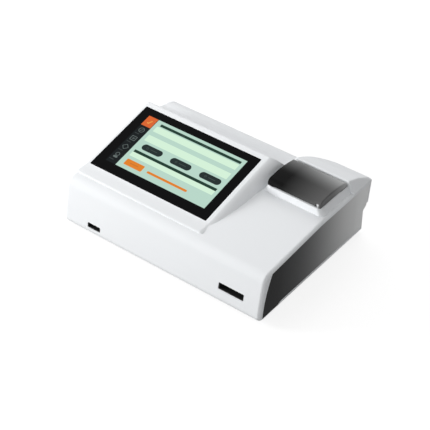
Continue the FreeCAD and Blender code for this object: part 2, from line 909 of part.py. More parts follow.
def reader_bosses():
    """Places that carry the reader's sheet chassis."""
    inset = 2 * pan_post_radius
    xs = (reader_left + 3 * inset, reader_right - 2 * inset)
    ys = (reader_front + 3 * inset, reader_back - inset)
    return [(x, y) for x in xs for y in ys]


def main_board_bosses():
    """Places that carry the main board."""
    inset = pan_post_radius + 1
    return [(x, y) for x in (main_board_left + inset, main_board_right - inset)
            for y in (main_board_front + inset, board_rear - 6 * inset)]


def chip_board_z():
    """Underside of the small board under the chip socket."""
    return chip_slot_z - chip_mouth_height / 2 - chip_socket_wall - board_thick - chip_socket_gap


def chip_board_bosses():
    """Places that carry the small board."""
    inset = pan_post_radius
    x0 = chip_slot_x - chip_board_width / 2 + inset
    return [(x, chip_board_front + chip_board_length - inset) for x in (x0, x0 + chip_board_width - 2 * inset)]


def inner_screws():
    """Screws that hold the reader and the two boards on the pan."""
    screws = [screw(x, y, reader_height + reader_sheet, False, reader_sheet + screw_bite, screw_radius)
              for x, y in reader_bosses()]
    screws += [screw(x, y, main_board_height + board_thick, False, board_thick + screw_bite, screw_radius)
               for x, y in main_board_bosses()]
    screws += [screw(x, y, chip_board_z() + board_thick, False, board_thick + screw_bite - 1, screw_radius)
               for x, y in chip_board_bosses()]
    return Part.makeCompound(screws)


def touch_glass():
    """Black bordered cover glass."""
    return glass_block(0, -glass_thick, 0, glass_corner)


def lcd_module():
    """Seven inch display bonded under the glass."""
    return lcd_block(0, -glass_thick - lcd_thick, -glass_thick)


def lcd_bracket():
    """Steel plate under the display with four screw ears."""
    low = -glass_thick - lcd_thick
    x0 = (glass_width - lcd_width) / 2
    y0 = (glass_length - lcd_length) / 2
    plate = box(x0, x0 + lcd_width, y0, y0 + lcd_length, low - bracket_sheet, low)
    window = 5 * bracket_boss_radius
    plate = plate.cut(rounded_block(x0 + window, x0 + lcd_width - window, y0 + window,
                                    y0 + lcd_length - window, low - 2 * bracket_sheet, low + 1, window / 3))
    for x, y in bracket_corners():
        inward = 2 * bracket_boss_radius if x < glass_width / 2 else -2 * bracket_boss_radius
        x_in, x_out = sorted((x, x + inward))
        ear = rod(bracket_boss_radius, V(x, y, low - bracket_sheet), V(x, y, low))
        ear = ear.fuse(box(x_in, x_out, y - bracket_boss_radius, y + bracket_boss_radius,
                           low - bracket_sheet, low))
        plate = plate.fuse(ear)
    for x, y in bracket_corners():
        plate = plate.cut(rod(screw_radius + running_gap, V(x, y, low - 5), V(x, y, low + 1)))
    return tilted(plate.removeSplitter())


def bracket_screws():
    """Four screws that hold the display bracket to the housing."""
    seat = -glass_thick - lcd_thick - bracket_sheet
    return Part.makeCompound([tilted(screw(x, y, seat, True, bracket_sheet + screw_bite, screw_radius))
                              for x, y in bracket_corners()])


def rear_panel():
    """Dark plate in the socket recess, with openings for the sockets and cooling slots."""
    plate = box(-rear_panel_half + fit_gap, rear_panel_half - fit_gap, recess_y - wall - rear_panel_bite,
                recess_y - rear_panel_sink, rear_panel_low + fit_gap, rear_panel_high - fit_gap)
    edges = [e for e in plate.Edges if abs(e.tangentAt(0).y) > 0.9]
    plate = plate.makeFillet(slot_corner, edges)
    flange = box(-rear_panel_half - rear_panel_flange, rear_panel_half + rear_panel_flange,
                 panel_inner_y, recess_y - wall, pan_top + fit_gap, rear_panel_high + slot_corner)
    plate = plate.fuse(flange)
    for x0, x1, z0, z1 in port_windows():
        plate = plate.cut(box(x0 - fit_gap, x1 + fit_gap, panel_inner_y - 1, recess_y + 1,
                              z0 - fit_gap, z1 + fit_gap))
    first = switch_x + 2 * switch_width
    for i in range(vent_count):
        x = first + i * vent_pitch
        middle = (rear_panel_low + rear_panel_high) / 2
        vent = slot_cutter(x, middle, vent_width, vent_length / 2, panel_inner_y - 1, recess_y + 1)
        plate = plate.cut(vent)
    return plate


def port_windows():
    """Openings of the rear panel as left, right, low and high sides."""
    windows = [(power_inlet_x - power_inlet_width / 2, power_inlet_x + power_inlet_width / 2,
                board_top, board_top + power_inlet_height)]
    for i in range(2):
        x = usb_first_x + i * usb_pitch
        windows.append((x - usb_width / 2, x + usb_width / 2, board_top, board_top + usb_height))
    windows.append((network_x - network_width / 2, network_x + network_width / 2,
                    board_top, board_top + network_height))
    windows.append((switch_x - switch_width / 2, switch_x + switch_width / 2,
                    switch_z - switch_height / 2, switch_z + switch_height / 2))
    return windows


def main_board():
    """Main circuit board with its larger parts."""
    board = box(main_board_left, main_board_right, main_board_front, board_rear,
                main_board_height, board_top)
    middle_x = (main_board_left + main_board_right) / 2
    middle_y = (main_board_front + board_rear) / 2
    chips = [(middle_x, middle_y, chip_large_half), (middle_x + 3 * chip_large_half, middle_y, chip_small_half),
             (middle_x - 3 * chip_large_half, middle_y + chip_large_half, chip_small_half)]
    for x, y, half in chips:
        board = board.fuse(box(x - half, x + half, y - half, y + half, main_board_height + 1,
                               board_top + chip_rise))
    for i in range(3):
        x = middle_x - 5 * chip_large_half + 3 * can_radius * i
        y = middle_y - 3 * chip_large_half
        board = board.fuse(rod(can_radius, V(x, y, main_board_height + 1), V(x, y, board_top + can_rise)))
    for i in range(2):
        x0 = main_board_right - header_width - header_inset
        y0 = main_board_front + 2 * header_length * (i + 1)
        header = box(x0, x0 + header_width, y0, y0 + header_length, main_board_height + 1,
                     board_top + header_rise)
        header = header.cut(box(x0 + header_wall, x0 + header_width - header_wall, y0 + header_wall,
                                y0 + header_length - header_wall, board_top + header_floor,
                                board_top + header_rise + 1))
        board = board.fuse(header)
    for x, y in main_board_bosses():
        board = board.cut(rod(screw_radius + running_gap, V(x, y, main_board_height - 1), V(x, y, board_top + 1)))
    return board


def power_inlet():
    """Round low voltage socket with its centre pin."""
    face = recess_y + port_stand_out
    body = box(power_inlet_x - power_inlet_width / 2, power_inlet_x + power_inlet_width / 2,
               face - power_inlet_depth, face, board_top, board_top + power_inlet_height)
    centre_z = board_top + power_inlet_height / 2
    deep = face - power_inlet_depth + wall
    body = body.cut(rod(power_inlet_bore, V(power_inlet_x, deep, centre_z), V(power_inlet_x, face + 1, centre_z)))
    pin = rod(power_inlet_pin, V(power_inlet_x, deep - 1, centre_z), V(power_inlet_x, face - 1, centre_z))
    return body.fuse(pin)


def usb_port(index):
    """Folded steel shell with its tongue."""
    x = usb_first_x + index * usb_pitch
    face = recess_y + port_stand_out
    shell = rounded_block(x - usb_width / 2, x + usb_width / 2, face - usb_depth, face,
                          board_top, board_top + usb_height, usb_shell)
    hollow = box(x - usb_width / 2 + usb_shell, x + usb_width / 2 - usb_shell, face - usb_depth + wall, face + 1,
                 board_top + usb_shell, board_top + usb_height - usb_shell)
    tongue_high = board_top + usb_height - usb_shell
    tongue = box(x - usb_width / 2 + 1, x + usb_width / 2 - 1, face - usb_depth + 1, face - 1,
                 tongue_high - 2.4, tongue_high - 0.6)
    return shell.cut(hollow).fuse(tongue)


def network_port():
    """Modular network socket."""
    x0 = network_x - network_width / 2
    x1 = network_x + network_width / 2
    face = recess_y + port_stand_out
    body = box(x0, x1, face - network_depth, face, board_top, board_top + network_height)
    side = 2 * network_wall
    hollow = box(x0 + side, x1 - side, face - network_depth + 2 * network_wall, face + 1,
                 board_top + side, board_top + network_height - side)
    catch = box(network_x - network_wall * 2.5, network_x + network_wall * 2.5,
                face - network_depth / 2, face + 1, board_top + network_wall, board_top + side + 1)
    return body.cut(hollow).cut(catch)


def switch_axis():
    """Upright axis of the rocker."""
    return V(switch_x, recess_y - 1, switch_z)


def switch_body():
    """Snap-in housing of the power switch."""
    half_w = switch_width / 2
    half_h = switch_height / 2
    flange = box(switch_x - half_w - switch_rim, switch_x + half_w + switch_rim, recess_y - rear_panel_sink,
                 recess_y + switch_rim, switch_z - half_h - switch_rim, switch_z + half_h + switch_rim)
    body = box(switch_x - half_w, switch_x + half_w, recess_y - switch_depth, recess_y,
               switch_z - half_h, switch_z + half_h)
    body = body.fuse(flange)
    axis = switch_axis()
    window_h = half_h - switch_frame
    window = box(switch_x - rocker_radius() - rocker_gap, switch_x + rocker_radius() + rocker_gap,
                 axis.y, recess_y + 2, switch_z - window_h, switch_z + window_h)
    well = rod(rocker_radius() + rocker_gap, V(axis.x, axis.y, switch_z - window_h),
               V(axis.x, axis.y, switch_z + window_h))
    for x in (-1, 0, 1):
        tab_x = switch_x + x * half_w / 2
        tab = box(tab_x - switch_tab_thick / 2, tab_x + switch_tab_thick / 2,
                  recess_y - switch_depth - switch_tab_length, recess_y - switch_depth + 1,
                  switch_z - switch_tab_width / 2, switch_z + switch_tab_width / 2)
        body = body.fuse(tab)
    return body.cut(window).cut(well)


def rocker_radius():
    """Half the length of the rocker."""
    return switch_width / 2 - 2.2


def power_rocker():
    """Two-way rocker, which rests tipped to its off side."""
    axis = switch_axis()
    half_h = switch_height / 2 - 1.6 - rocker_gap
    low = V(axis.x, axis.y, switch_z - half_h)
    high = V(axis.x, axis.y, switch_z + half_h)
    round_part = rod(rocker_radius(), low, high)
    reach = rocker_radius() + 1
    rise = rocker_radius() / 2
    dip = rise - rocker_radius() * math.tan(math.radians(rocker_tilt))
    outline = Part.makePolygon([V(axis.x - reach, axis.y - rise, low.z), V(axis.x + reach, axis.y - rise, low.z),
                                V(axis.x + reach, axis.y + rise, low.z), V(axis.x, axis.y + dip, low.z),
                                V(axis.x - reach, axis.y + rise, low.z), V(axis.x - reach, axis.y - rise, low.z)])
    rocker = round_part.common(Part.Face(outline).extrude(V(0, 0, high.z - low.z)))
    rocker.rotate(axis, V(0, 0, 1), -rocker_tilt)
    return rocker


def chip_board():
    """Small board under the chip socket."""
    x0 = chip_slot_x - chip_board_width / 2
    z0 = chip_board_z()
    board = box(x0, x0 + chip_board_width, chip_board_front, chip_board_front + chip_board_length, z0,
                z0 + board_thick)
    for x, y in chip_board_bosses():
        board = board.cut(rod(screw_radius + running_gap, V(x, y, z0 - 1), V(x, y, z0 + board_thick + 1)))
    return board


def chip_socket():
    """Socket that takes the lot chip behind the small slot."""
    hollow_w = chip_mouth_width / 2
    hollow_h = chip_mouth_height / 2 + chip_socket_gap
    x0 = chip_slot_x - hollow_w - chip_socket_wall
    x1 = chip_slot_x + hollow_w + chip_socket_wall
    z0 = chip_board_z() + board_thick
    z1 = chip_slot_z + hollow_h + chip_socket_wall
    body = rounded_block(x0, x1, chip_board_front, chip_board_front + chip_socket_length, z0, z1, 1)
    body = body.fuse(slot_liner(chip_slot_x, chip_slot_z, chip_slot_width, chip_slot_height,
                                chip_board_front + chip_socket_wall))
    mouth = slot_cutter(chip_slot_x, chip_slot_z, chip_mouth_width, chip_mouth_height, front_y - 1,
                        chip_board_front + chip_socket_length - chip_socket_wall)
    body = body.cut(mouth)
    for i in range(8):
        x = chip_slot_x + (i - 3.5) * 2.4
        contact = box(x - 0.4, x + 0.4, chip_board_front + chip_socket_length - chip_socket_wall - 6,
                      chip_board_front + chip_socket_length - 1, chip_slot_z - chip_mouth_height / 2 - 0.2,
                      chip_slot_z - chip_mouth_height / 2 + 0.15)
        body = body.fuse(contact)
    return body


def rod_places():
    """Places of the two guide rods along the width."""
    return [card_slot_x - rod_spread, card_slot_x + rod_spread]


def reader_chassis():
    """Folded sheet that carries the card drive: a floor and two end walls for the rods."""
    top = reader_height + reader_sheet
    floor = box(reader_left, reader_right, reader_front, reader_back, reader_height, top)
    front = box(card_slot_x - rod_spread - 6, reader_right, reader_front, reader_front + reader_sheet,
                top - 0.1, rod_z + rod_radius + 2)
    back = box(card_slot_x - rod_spread - 6, reader_right, reader_back - reader_sheet, reader_back,
               top - 0.1, rod_z + rod_radius + 4)
    pin_plate = box(motor_plate_x, motor_plate_x + reader_sheet, idler_y - pin_plate_half, idler_y + pin_plate_half,
                    top - 0.1, pulley_z + pin_plate_rise)
    chassis = floor.fuse([front, back, pin_plate])
    for x in rod_places():
        chassis = chassis.cut(rod(rod_radius, V(x, reader_front - 1, rod_z), V(x, reader_back + 1, rod_z)))
    chassis = chassis.cut(rod(idler_pin_radius, V(motor_plate_x - 1, idler_y, pulley_z),
                              V(motor_plate_x + 5, idler_y, pulley_z)))
    window_x = rod_spread - 8
    chassis = chassis.cut(rounded_block(card_slot_x - window_x, card_slot_x + window_x, reader_front + 40,
                                        reader_back - 28, reader_height - 1, top + 1, 3))
    for x, y in reader_bosses():
        chassis = chassis.cut(rod(screw_radius + running_gap, V(x, y, reader_height - 1), V(x, y, top + 1)))
    return chassis


def guide_rod(index):
    """Ground steel rod with chamfered ends."""
    x = rod_places()[index]
    bar = rod(rod_radius, V(x, reader_front - 0.8, rod_z), V(x, reader_back + 0.8, rod_z))
    ends = [e for e in bar.Edges if e.BoundBox.YLength < 0.01 and len(e.Vertexes) == 1]
    return bar.makeChamfer(rod_radius / 8, ends)


def carriage():
    """Moulded block that slides on both rods and carries the card tray."""
    x0 = rod_places()[0] - rod_radius - carriage_shoulder
    x1 = rod_places()[1] + rod_radius + carriage_shoulder
    block = box(x0, x1, carriage_front, carriage_front + carriage_length, carriage_low, carriage_high)
    waist = rod_spread - rod_radius - 1.5 * carriage_shoulder
    roof = carriage_high - carriage_roof
    block = block.cut(box(card_slot_x - waist, card_slot_x + waist, carriage_front - 1,
                          carriage_front + carriage_length + 1, carriage_low - 1, roof))
    flag = box(home_sensor_x - flag_thick / 2, home_sensor_x + flag_thick / 2, carriage_front + flag_inset,
               carriage_front + flag_inset + flag_length, roof - flag_drop, roof + carriage_roof / 2)
    block = block.fuse(flag)
    for x in rod_places():
        block = block.cut(rod(rod_radius + running_gap, V(x, carriage_front - 1, rod_z),
                              V(x, carriage_front + carriage_length + 1, rod_z)))
    upright = [e for e in block.Edges if abs(e.tangentAt(0).z) > 0.9
               and (abs(e.BoundBox.XMin - x0) < 0.01 or abs(e.BoundBox.XMin - x1) < 0.01)]
    return block.makeFillet(1.2, upright)


def card_tray():
    """Tray that takes the test card from the slot."""
    half = tray_inner / 2
    back = tray_front + tray_length
    high = card_slot_z + card_mouth_height / 2 - tray_gap
    tray = rounded_block(card_slot_x - half - tray_wall, card_slot_x + half + tray_wall, tray_front, back,
                         carriage_high, high, 1.5)
    tray = tray.cut(box(card_slot_x - half, card_slot_x + half, tray_front - 1, back - 2 * tray_wall,
                        card_low - 2 * tray_gap, high + 1))
    for side in (-1, 1):
        notch_x = card_slot_x + side * (half + tray_wall / 2)
        tray = tray.cut(box(notch_x - tray_wall, notch_x + tray_wall, back - tray_notch_back,
                            back - tray_notch_back + tray_notch_length,
                            card_low + 1, high + 1))
    return tray


def card_guide():
    """Black throat that leads the card from the slot to the tray."""
    half = tray_inner / 2
    y0 = reader_front - guide_length - fit_gap
    y1 = reader_front - fit_gap
    z0 = reader_height + reader_sheet
    body = box(card_slot_x - half - guide_wall, card_slot_x + half + guide_wall, y0, y1,
               reader_height, card_slot_z + card_mouth_height / 2 + guide_wall)
    foot = box(card_slot_x - half - guide_wall, card_slot_x + half + guide_wall, y0 + 3, reader_front,
               reader_height, z0)
    body = body.fuse([foot, slot_liner(card_slot_x, card_slot_z, card_slot_width, card_slot_height, y1)])
    return body.cut(slot_cutter(card_slot_x, card_slot_z, card_mouth_width, card_mouth_height, front_y - 1, y1 + 1))


def pulley(y):
    """Toothed pulley with two flanges, on an axis across the analyzer."""
    tip = pulley_pitch_radius - pulley_tooth_depth
    x0 = belt_x - pulley_width / 2
    x1 = belt_x + pulley_width / 2
    wheel = rod(tip, V(x0, y, pulley_z), V(x1, y, pulley_z))
    grooves = []
    for i in range(pulley_teeth):
        groove = box(x0 - 1, x1 + 1, y + tip - groove_depth, y + tip + 1, pulley_z - belt_pitch / 4,
                     pulley_z + belt_pitch / 4)
        groove.rotate(V(0, y, pulley_z), V(1, 0, 0), 360 * i / pulley_teeth)
        grooves.append(groove)
    wheel = wheel.cut(grooves)
    for x in (x0 - pulley_flange, x1):
        rim = rod(tip + pulley_flange_rise, V(x, y, pulley_z), V(x + pulley_flange, y, pulley_z))
        wheel = wheel.fuse(rim)
    return wheel


def drive_pulley():
    """Pulley pressed on the motor shaft, with the shaft as part of it."""
    x0 = motor_plate_x - motor_length
    x1 = belt_x + pulley_width / 2 + 2
    shaft = rod(motor_shaft_radius, V(x0 + 3, drive_y, pulley_z), V(x1, drive_y, pulley_z))
    return pulley(drive_y).fuse(shaft)


def idler_pulley():
    """Pulley that turns on a fixed pin."""
    hole = rod(idler_pin_radius + running_gap, V(belt_x - pulley_width, idler_y, pulley_z),
               V(belt_x + pulley_width, idler_y, pulley_z))
    return pulley(idler_y).cut(hole)


def idler_pin():
    """Pin with a head that keeps the idler on."""
    x1 = belt_x + pulley_width / 2 + pulley_flange + fit_gap
    pin = rod(idler_pin_radius, V(motor_plate_x, idler_y, pulley_z), V(x1, idler_y, pulley_z))
    collar = rod(idler_pin_radius + 1, V(motor_plate_x + reader_sheet, idler_y, pulley_z),
                 V(belt_x - pulley_width / 2 - pulley_flange - fit_gap, idler_y, pulley_z))
    head = rod(idler_pin_radius + 1, V(x1, idler_y, pulley_z), V(x1 + 1, idler_y, pulley_z))
    return pin.fuse([collar, head])


def stadium(radius, x0, x1):
    """Rounded bar round both pulley axes."""
    low = box(x0, x1, idler_y, drive_y, pulley_z - radius, pulley_z + radius)
    for y in (idler_y, drive_y):
        low = low.fuse(rod(radius, V(x0, y, pulley_z), V(x1, y, pulley_z)))
    return low.removeSplitter()


def drive_belt():
    """Closed belt round both pulleys."""
    x0 = belt_x - belt_width / 2
    x1 = belt_x + belt_width / 2
    return stadium(belt_inner_radius + belt_thick, x0, x1).cut(stadium(belt_inner_radius, x0 - 1, x1 + 1))


def belt_clamp():
    """Fork on the carriage that grips the lower run of the belt."""
    x0 = belt_x - belt_width / 2 - 2 * fit_gap
    x1 = rod_places()[0] - rod_radius - carriage_shoulder
    z_out = pulley_z - belt_inner_radius - belt_thick - fit_gap
    z_in = pulley_z - belt_inner_radius + fit_gap
    y1 = clamp_y + clamp_length
    root_x = belt_x + belt_width / 2 + fit_gap
    fork = box(x0, x1, clamp_y, y1, z_out - clamp_jaw, z_in + clamp_jaw)
    return fork.cut(box(x0 - 1, root_x, clamp_y - 1, y1 + 1, z_out, z_in))


def stepper_motor():
    """Can stack motor with its mounting flange."""
    x0 = motor_plate_x - motor_length
    can = rod(motor_radius, V(x0, drive_y, pulley_z), V(motor_plate_x, drive_y, pulley_z))
    rims = [e for e in can.Edges if e.BoundBox.XLength < 0.01]
    can = can.makeChamfer(motor_edge, rims)
    ear_y = motor_radius + motor_ear
    flange = box(motor_plate_x - 1, motor_plate_x, drive_y - ear_y, drive_y + ear_y,
                 pulley_z - motor_ear_half, pulley_z + motor_ear_half)
    can = can.fuse(flange)
    bore = rod(motor_shaft_radius + running_gap, V(x0 + motor_rear_cover, drive_y, pulley_z),
               V(motor_plate_x + 1, drive_y, pulley_z))
    return can.cut(bore)


def motor_bracket():
    """Upright steel plate that holds the motor, standing on the chassis."""
    x0 = motor_plate_x
    low = reader_height + reader_sheet
    reach = motor_radius + bracket_reach
    back = drive_y + reach - bracket_drop
    plate = box(x0, x0 + reader_sheet, drive_y - reach, back, low, pulley_z + motor_radius)
    foot = box(x0, x0 + reader_sheet + bracket_foot, drive_y - reach, back, low, low + reader_sheet)
    plate = plate.fuse(foot)
    return plate.cut(rod(motor_shaft_radius + 2, V(x0 - 1, drive_y, pulley_z), V(x0 + 9, drive_y, pulley_z)))


def head_bridge():
    """Folded bridge that carries the optical head over the card tray."""
    x0 = motor_plate_x
    x1 = reader_right
    y0 = head_y - head_length / 2
    y1 = head_y + head_length / 2
    low = reader_height + reader_sheet
    span = box(x0, x1, y0, y1, bridge_low, head_low)
    for x in (x0, x1 - bridge_sheet):
        span = span.fuse(box(x, x + bridge_sheet, y0, y1, low, head_low))
    hole = rod(lens_radius + 1, V(optic_x, head_y, bridge_low - 1), V(optic_x, head_y, head_low + 1))
    return span.removeSplitter().cut(hole)


def optic_bore():
    """Stepped bore of the optical head."""
    bore = rod(lens_radius + optic_gap, V(optic_x, head_y, head_low + lens_seat),
               V(optic_x, head_y, head_low + head_height + 1))
    mouth = rod(lens_radius - 0.8, V(optic_x, head_y, head_low - 1), V(optic_x, head_y, head_low + 3))
    return bore.fuse(mouth)


def optical_head():
    """Black housing of the lamp, lens, mirror, filter and detector."""
    x0 = optic_x - head_width / 2
    body = rounded_block(x0, x0 + head_width, head_y - head_length / 2, head_y + head_length / 2,
                         head_low, head_low + head_height, 3)
    body = body.cut(optic_bore())
    side = rod(led_radius + optic_gap, V(x0 - 1, head_y, head_low + mirror_height),
               V(optic_x, head_y, head_low + mirror_height))
    return body.cut(side).cut(mirror_plate(optic_gap, head_length))


def objective_lens():
    """Lens that looks down on the card, flat below and domed above."""
    z0 = head_low + lens_seat
    z1 = z0 + lens_thick
    ball_radius = (lens_radius ** 2 + lens_bulge ** 2) / (2 * lens_bulge)
    disc = rod(lens_radius, V(optic_x, head_y, z0), V(optic_x, head_y, z1))
    return disc.common(Part.makeSphere(ball_radius, V(optic_x, head_y, z1 - ball_radius)))


def mirror_plate(gap, front):
    """Slanted plate across the optical path, a gap larger all round and reaching forward."""
    half_length = mirror_length / 2 + gap
    half_width_y = lens_radius + mirror_groove + gap
    half_thick = mirror_thick / 2 + gap
    plate = box(-half_length, half_length, -half_width_y - front, half_width_y, -half_thick, half_thick)
    plate.rotate(V(0, 0, 0), V(0, 1, 0), -45)
    plate.translate(V(optic_x, head_y, head_low + mirror_height))
    return plate


def dichroic_mirror():
    """Slanted mirror between the lamp and the lens, held in grooves of the head."""
    return mirror_plate(0, 0)


def emission_filter():
    """Round colour filter under the detector."""
    z0 = head_low + filter_height
    return rod(lens_radius, V(optic_x, head_y, z0), V(optic_x, head_y, z0 + filter_thick))


def excitation_led():
    """Lamp in the side bore."""
    x0 = optic_x - head_width / 2
    z = head_low + mirror_height
    tip = x0 + led_length
    bulb = rod(led_radius, V(x0, head_y, z), V(tip - led_radius, head_y, z))
    dome = Part.makeSphere(led_radius, V(tip - led_radius, head_y, z))
    rim = rod(led_radius + 0.4, V(x0 - 1, head_y, z), V(x0, head_y, z))
    return bulb.fuse([dome, rim])


def detector_board():
    """Small board with the detector, which closes the head."""
    z0 = head_low + head_height
    half = head_width / 2 - detector_board_inset
    board = box(optic_x - half, optic_x + half, head_y - half, head_y + half, z0, z0 + board_thick)
    cell = rod(detector_radius, V(optic_x, head_y, z0 - detector_rise), V(optic_x, head_y, z0 + board_thick / 2))
    header = box(optic_x + half - header_width, optic_x + half - header_inset, head_y - header_length / 2,
                 head_y + header_length / 2, z0 + board_thick / 2, z0 + board_thick + detector_header_rise)
    return board.fuse([cell, header])


def home_sensor():
    """Forked light gate that the carriage's flag stands in at its home place."""
    z0 = reader_height + reader_sheet
    y0 = carriage_front + flag_inset + flag_length / 2 - gate_depth / 2
    half = gate_gap / 2 + gate_post
    gate = box(home_sensor_x - half, home_sensor_x + half, y0, y0 + gate_depth, z0, z0 + gate_height)
    return gate.cut(box(home_sensor_x - gate_gap / 2, home_sensor_x + gate_gap / 2, y0 - 1, y0 + gate_depth + 1,
                        z0 + gate_base, z0 + gate_height + 1))


def hinge_rod(radius, x0, x1):
    """Round bar on the hinge axis of the lid."""
    return rod(radius, V(x0, hinge_y, hinge_z), V(x1, hinge_y, hinge_z))


def lid_wire(low):
    """Side view of the lid: rounded brow, gentle crown and a tail that turns about the hinge."""
    return rounded_wire([
        (lid_front_y, low, 0),
        (lid_front_y, lid_front_top, lid_front_round),
        (lid_crown_y, lid_crown_height, lid_crown_round),
        (hinge_y + lid_tail_radius, hinge_z + lid_tail_radius - fairing_top_drop, lid_tail_radius),
        (hinge_y + lid_tail_radius, low, 0),
    ])


def printer_lid():
    """Smoked cover of the paper bay, with its hinge barrel and the two arms of the platen."""
    outside = prism_x(lid_wire(lid_low), lid_left, lid_right)
    rims = []
    for edge in outside.Edges:
        bounds = edge.BoundBox
        if bounds.XLength < 0.01 and bounds.ZMax > lid_low + 0.1:
            rims.append(edge)
    outside = outside.makeFillet(bay_edge_round, rims)
    hollow = prism_x(inset_wire(lid_wire(lid_low - lid_thick - 1), lid_thick), lid_left + lid_thick,
                     lid_right - lid_thick)
    lid = outside.cut(hollow)
    barrel = hinge_rod(lid_tail_radius - lid_thick + 0.2, ear_left + ear_thick + fit_gap,
                       2 * printer_x - ear_left - ear_thick - fit_gap)
    lid = lid.fuse(barrel)
    reach = bush_radius + 1
    for x in (arm_left, 2 * printer_x - arm_left - arm_thick):
        arm = box(x, x + arm_thick, roller_y - reach, roller_y + reach, roller_z, lid_crown_height)
        arm = arm.fuse(rod(reach, V(x, roller_y, roller_z), V(x + arm_thick, roller_y, roller_z)))
        arm = arm.cut(rod(bush_radius, V(x - 1, roller_y, roller_z), V(x + arm_thick + 1, roller_y, roller_z)))
        lid = lid.fuse(arm.common(outside.fuse(rod(reach, V(x, roller_y, roller_z),
                                                   V(x + arm_thick, roller_y, roller_z)))))
    lid = lid.cut(hinge_rod(hinge_pin_radius + running_gap, lid_left + lid_thick, lid_right - lid_thick))
    half_paper = roller_length / 2 + 1
    lid = lid.cut(box(printer_x - half_paper, printer_x + half_paper, lid_front_y - 1, lid_front_y + lid_thick + 1,
                      lid_low - 1, lid_front_low))
    return lid.cut(box(button_x - button_width / 2 - fit_gap, button_x + button_width / 2 + fit_gap,
                       lid_front_y - 1, button_y + button_length / 2 + fit_gap, lid_low - 1,
                       lid_front_low + button_rise + fit_gap))


def lid_hinge_pin():
    """Steel pin of the lid."""
    return hinge_rod(hinge_pin_radius, ear_left, 2 * printer_x - ear_left)


def printer_chassis():
    """Paper bin with its flange, hinge ears and the shelf of the print head."""
    x0 = ear_left
    x1 = 2 * printer_x - ear_left
    outer_radius = bin_radius + bin_wall
    top = bay_seat_z
    body = rod(outer_radius, V(x0, bin_y, bin_z), V(x1, bin_y, bin_z))
    body = body.fuse(box(x0, x1, bin_y - outer_radius, bin_y + outer_radius, bin_z, top))
    body = body.cut(box(x0 - 1, x1 + 1, 0, rear_y, top, top + 2 * bin_radius))
    body = body.fuse(box(x0, x1, bin_front_wall_y, roller_y + head_strip_width / 2, top - 3 * bin_wall, top))
    flange_left = lid_left + wall + fit_gap
    flange = rounded_block(flange_left, 2 * printer_x - flange_left, bay_front_y + wall + fit_gap,
                           hinge_y - lid_tail_radius - lid_tail_gap, top - flange_thick, top,
                           bay_side_foot + bay_edge_round)
    body = body.fuse(flange)
    inner_x = bin_width / 2
    hollow = rod(bin_radius, V(printer_x - inner_x, bin_y, bin_z), V(printer_x + inner_x, bin_y, bin_z))
    mouth = box(printer_x - inner_x, printer_x + inner_x, roller_y + head_strip_width / 2, bin_y + bin_radius,
                bin_z, top + 1)
    floor_cut = box(x0, x1, roller_y + head_strip_width / 2 - 50, bin_y + 50, 0, top - 3 * bin_wall)
    body = body.cut(hollow.common(floor_cut))
    body = body.cut(mouth)
    body = body.cut(hinge_rod(lid_tail_radius + lid_tail_gap, lid_left, lid_right))
    ear_radius = lid_tail_radius - lid_thick - 2 * fit_gap
    for x in (x0, x1 - ear_thick):
        ear = rod(ear_radius, V(x, hinge_y, hinge_z), V(x + ear_thick, hinge_y, hinge_z))
        leg = box(x, x + ear_thick, hinge_y - lid_tail_radius - 1, hinge_y - 1, bin_z, hinge_z)
        body = body.fuse([ear, leg])
    body = body.cut(hinge_rod(hinge_pin_radius, x0 - 1, x1 + 1))
    return body.cut(box(button_x - button_stem / 2 - fit_gap, button_x + button_stem / 2 + fit_gap,
                        button_y - button_stem / 2 - fit_gap, button_y + button_stem / 2 + fit_gap,
                        top - 9, top + 1))


def thermal_head():
    """Flat print head under the platen, with its ceramic bead."""
    half = roller_length / 2 - fit_gap
    top = roller_z - roller_radius - fit_gap
    strip = box(printer_x - half, printer_x + half,
                roller_y - head_strip_width / 2, roller_y + head_strip_width / 2,
                bay_seat_z, top - 0.2)
    bead = box(printer_x - half + 2, printer_x + half - 2, roller_y - 0.8, roller_y + 0.8, top - 0.4, top)
    return strip.fuse(bead)


def platen_roller():
    """Rubber sleeve that feeds the paper."""
    x0 = printer_x - roller_length / 2
    x1 = printer_x + roller_length / 2
    sleeve = rod(roller_radius, V(x0, roller_y, roller_z), V(x1, roller_y, roller_z))
    return sleeve.cut(rod(roller_shaft_radius, V(x0 - 1, roller_y, roller_z), V(x1 + 1, roller_y, roller_z)))


def platen_shaft():
    """Steel shaft of the platen."""
    x0 = arm_left - 1
    bar = rod(roller_shaft_radius, V(x0, roller_y, roller_z), V(2 * printer_x - x0, roller_y, roller_z))
    ends = [e for e in bar.Edges if e.BoundBox.XLength < 0.01 and len(e.Vertexes) == 1]
    return bar.makeChamfer(roller_shaft_radius / 5, ends)


def platen_bushes():
    """Two plain bushes in the arms of the lid."""
    bushes = []
    for x in (arm_left, 2 * printer_x - arm_left - arm_thick):
        ring = rod(bush_radius, V(x, roller_y, roller_z), V(x + arm_thick, roller_y, roller_z))
        bushes.append(ring.cut(rod(roller_shaft_radius + running_gap, V(x - 1, roller_y, roller_z),
                                   V(x + arm_thick + 1, roller_y, roller_z))))
    return Part.makeCompound(bushes)


def lid_button():
    """Small sprung release button beside the lid's front corner, with its stem."""
    half_w = button_width / 2
    cap = rounded_block(button_x - half_w, button_x + half_w, button_y - button_length / 2,
                        button_y + button_length / 2, lid_front_low, lid_front_low + button_rise, 0.8)
    tops = [e for e in cap.Edges if abs(e.BoundBox.ZMin - lid_front_low - button_rise) < 0.01]
    cap = cap.makeFillet(0.6, tops)
    half = button_stem / 2
    stem = box(button_x - half, button_x + half, button_y - half, button_y + half, bay_seat_z - 6,
               lid_front_low + 1)
    return cap.fuse(stem)


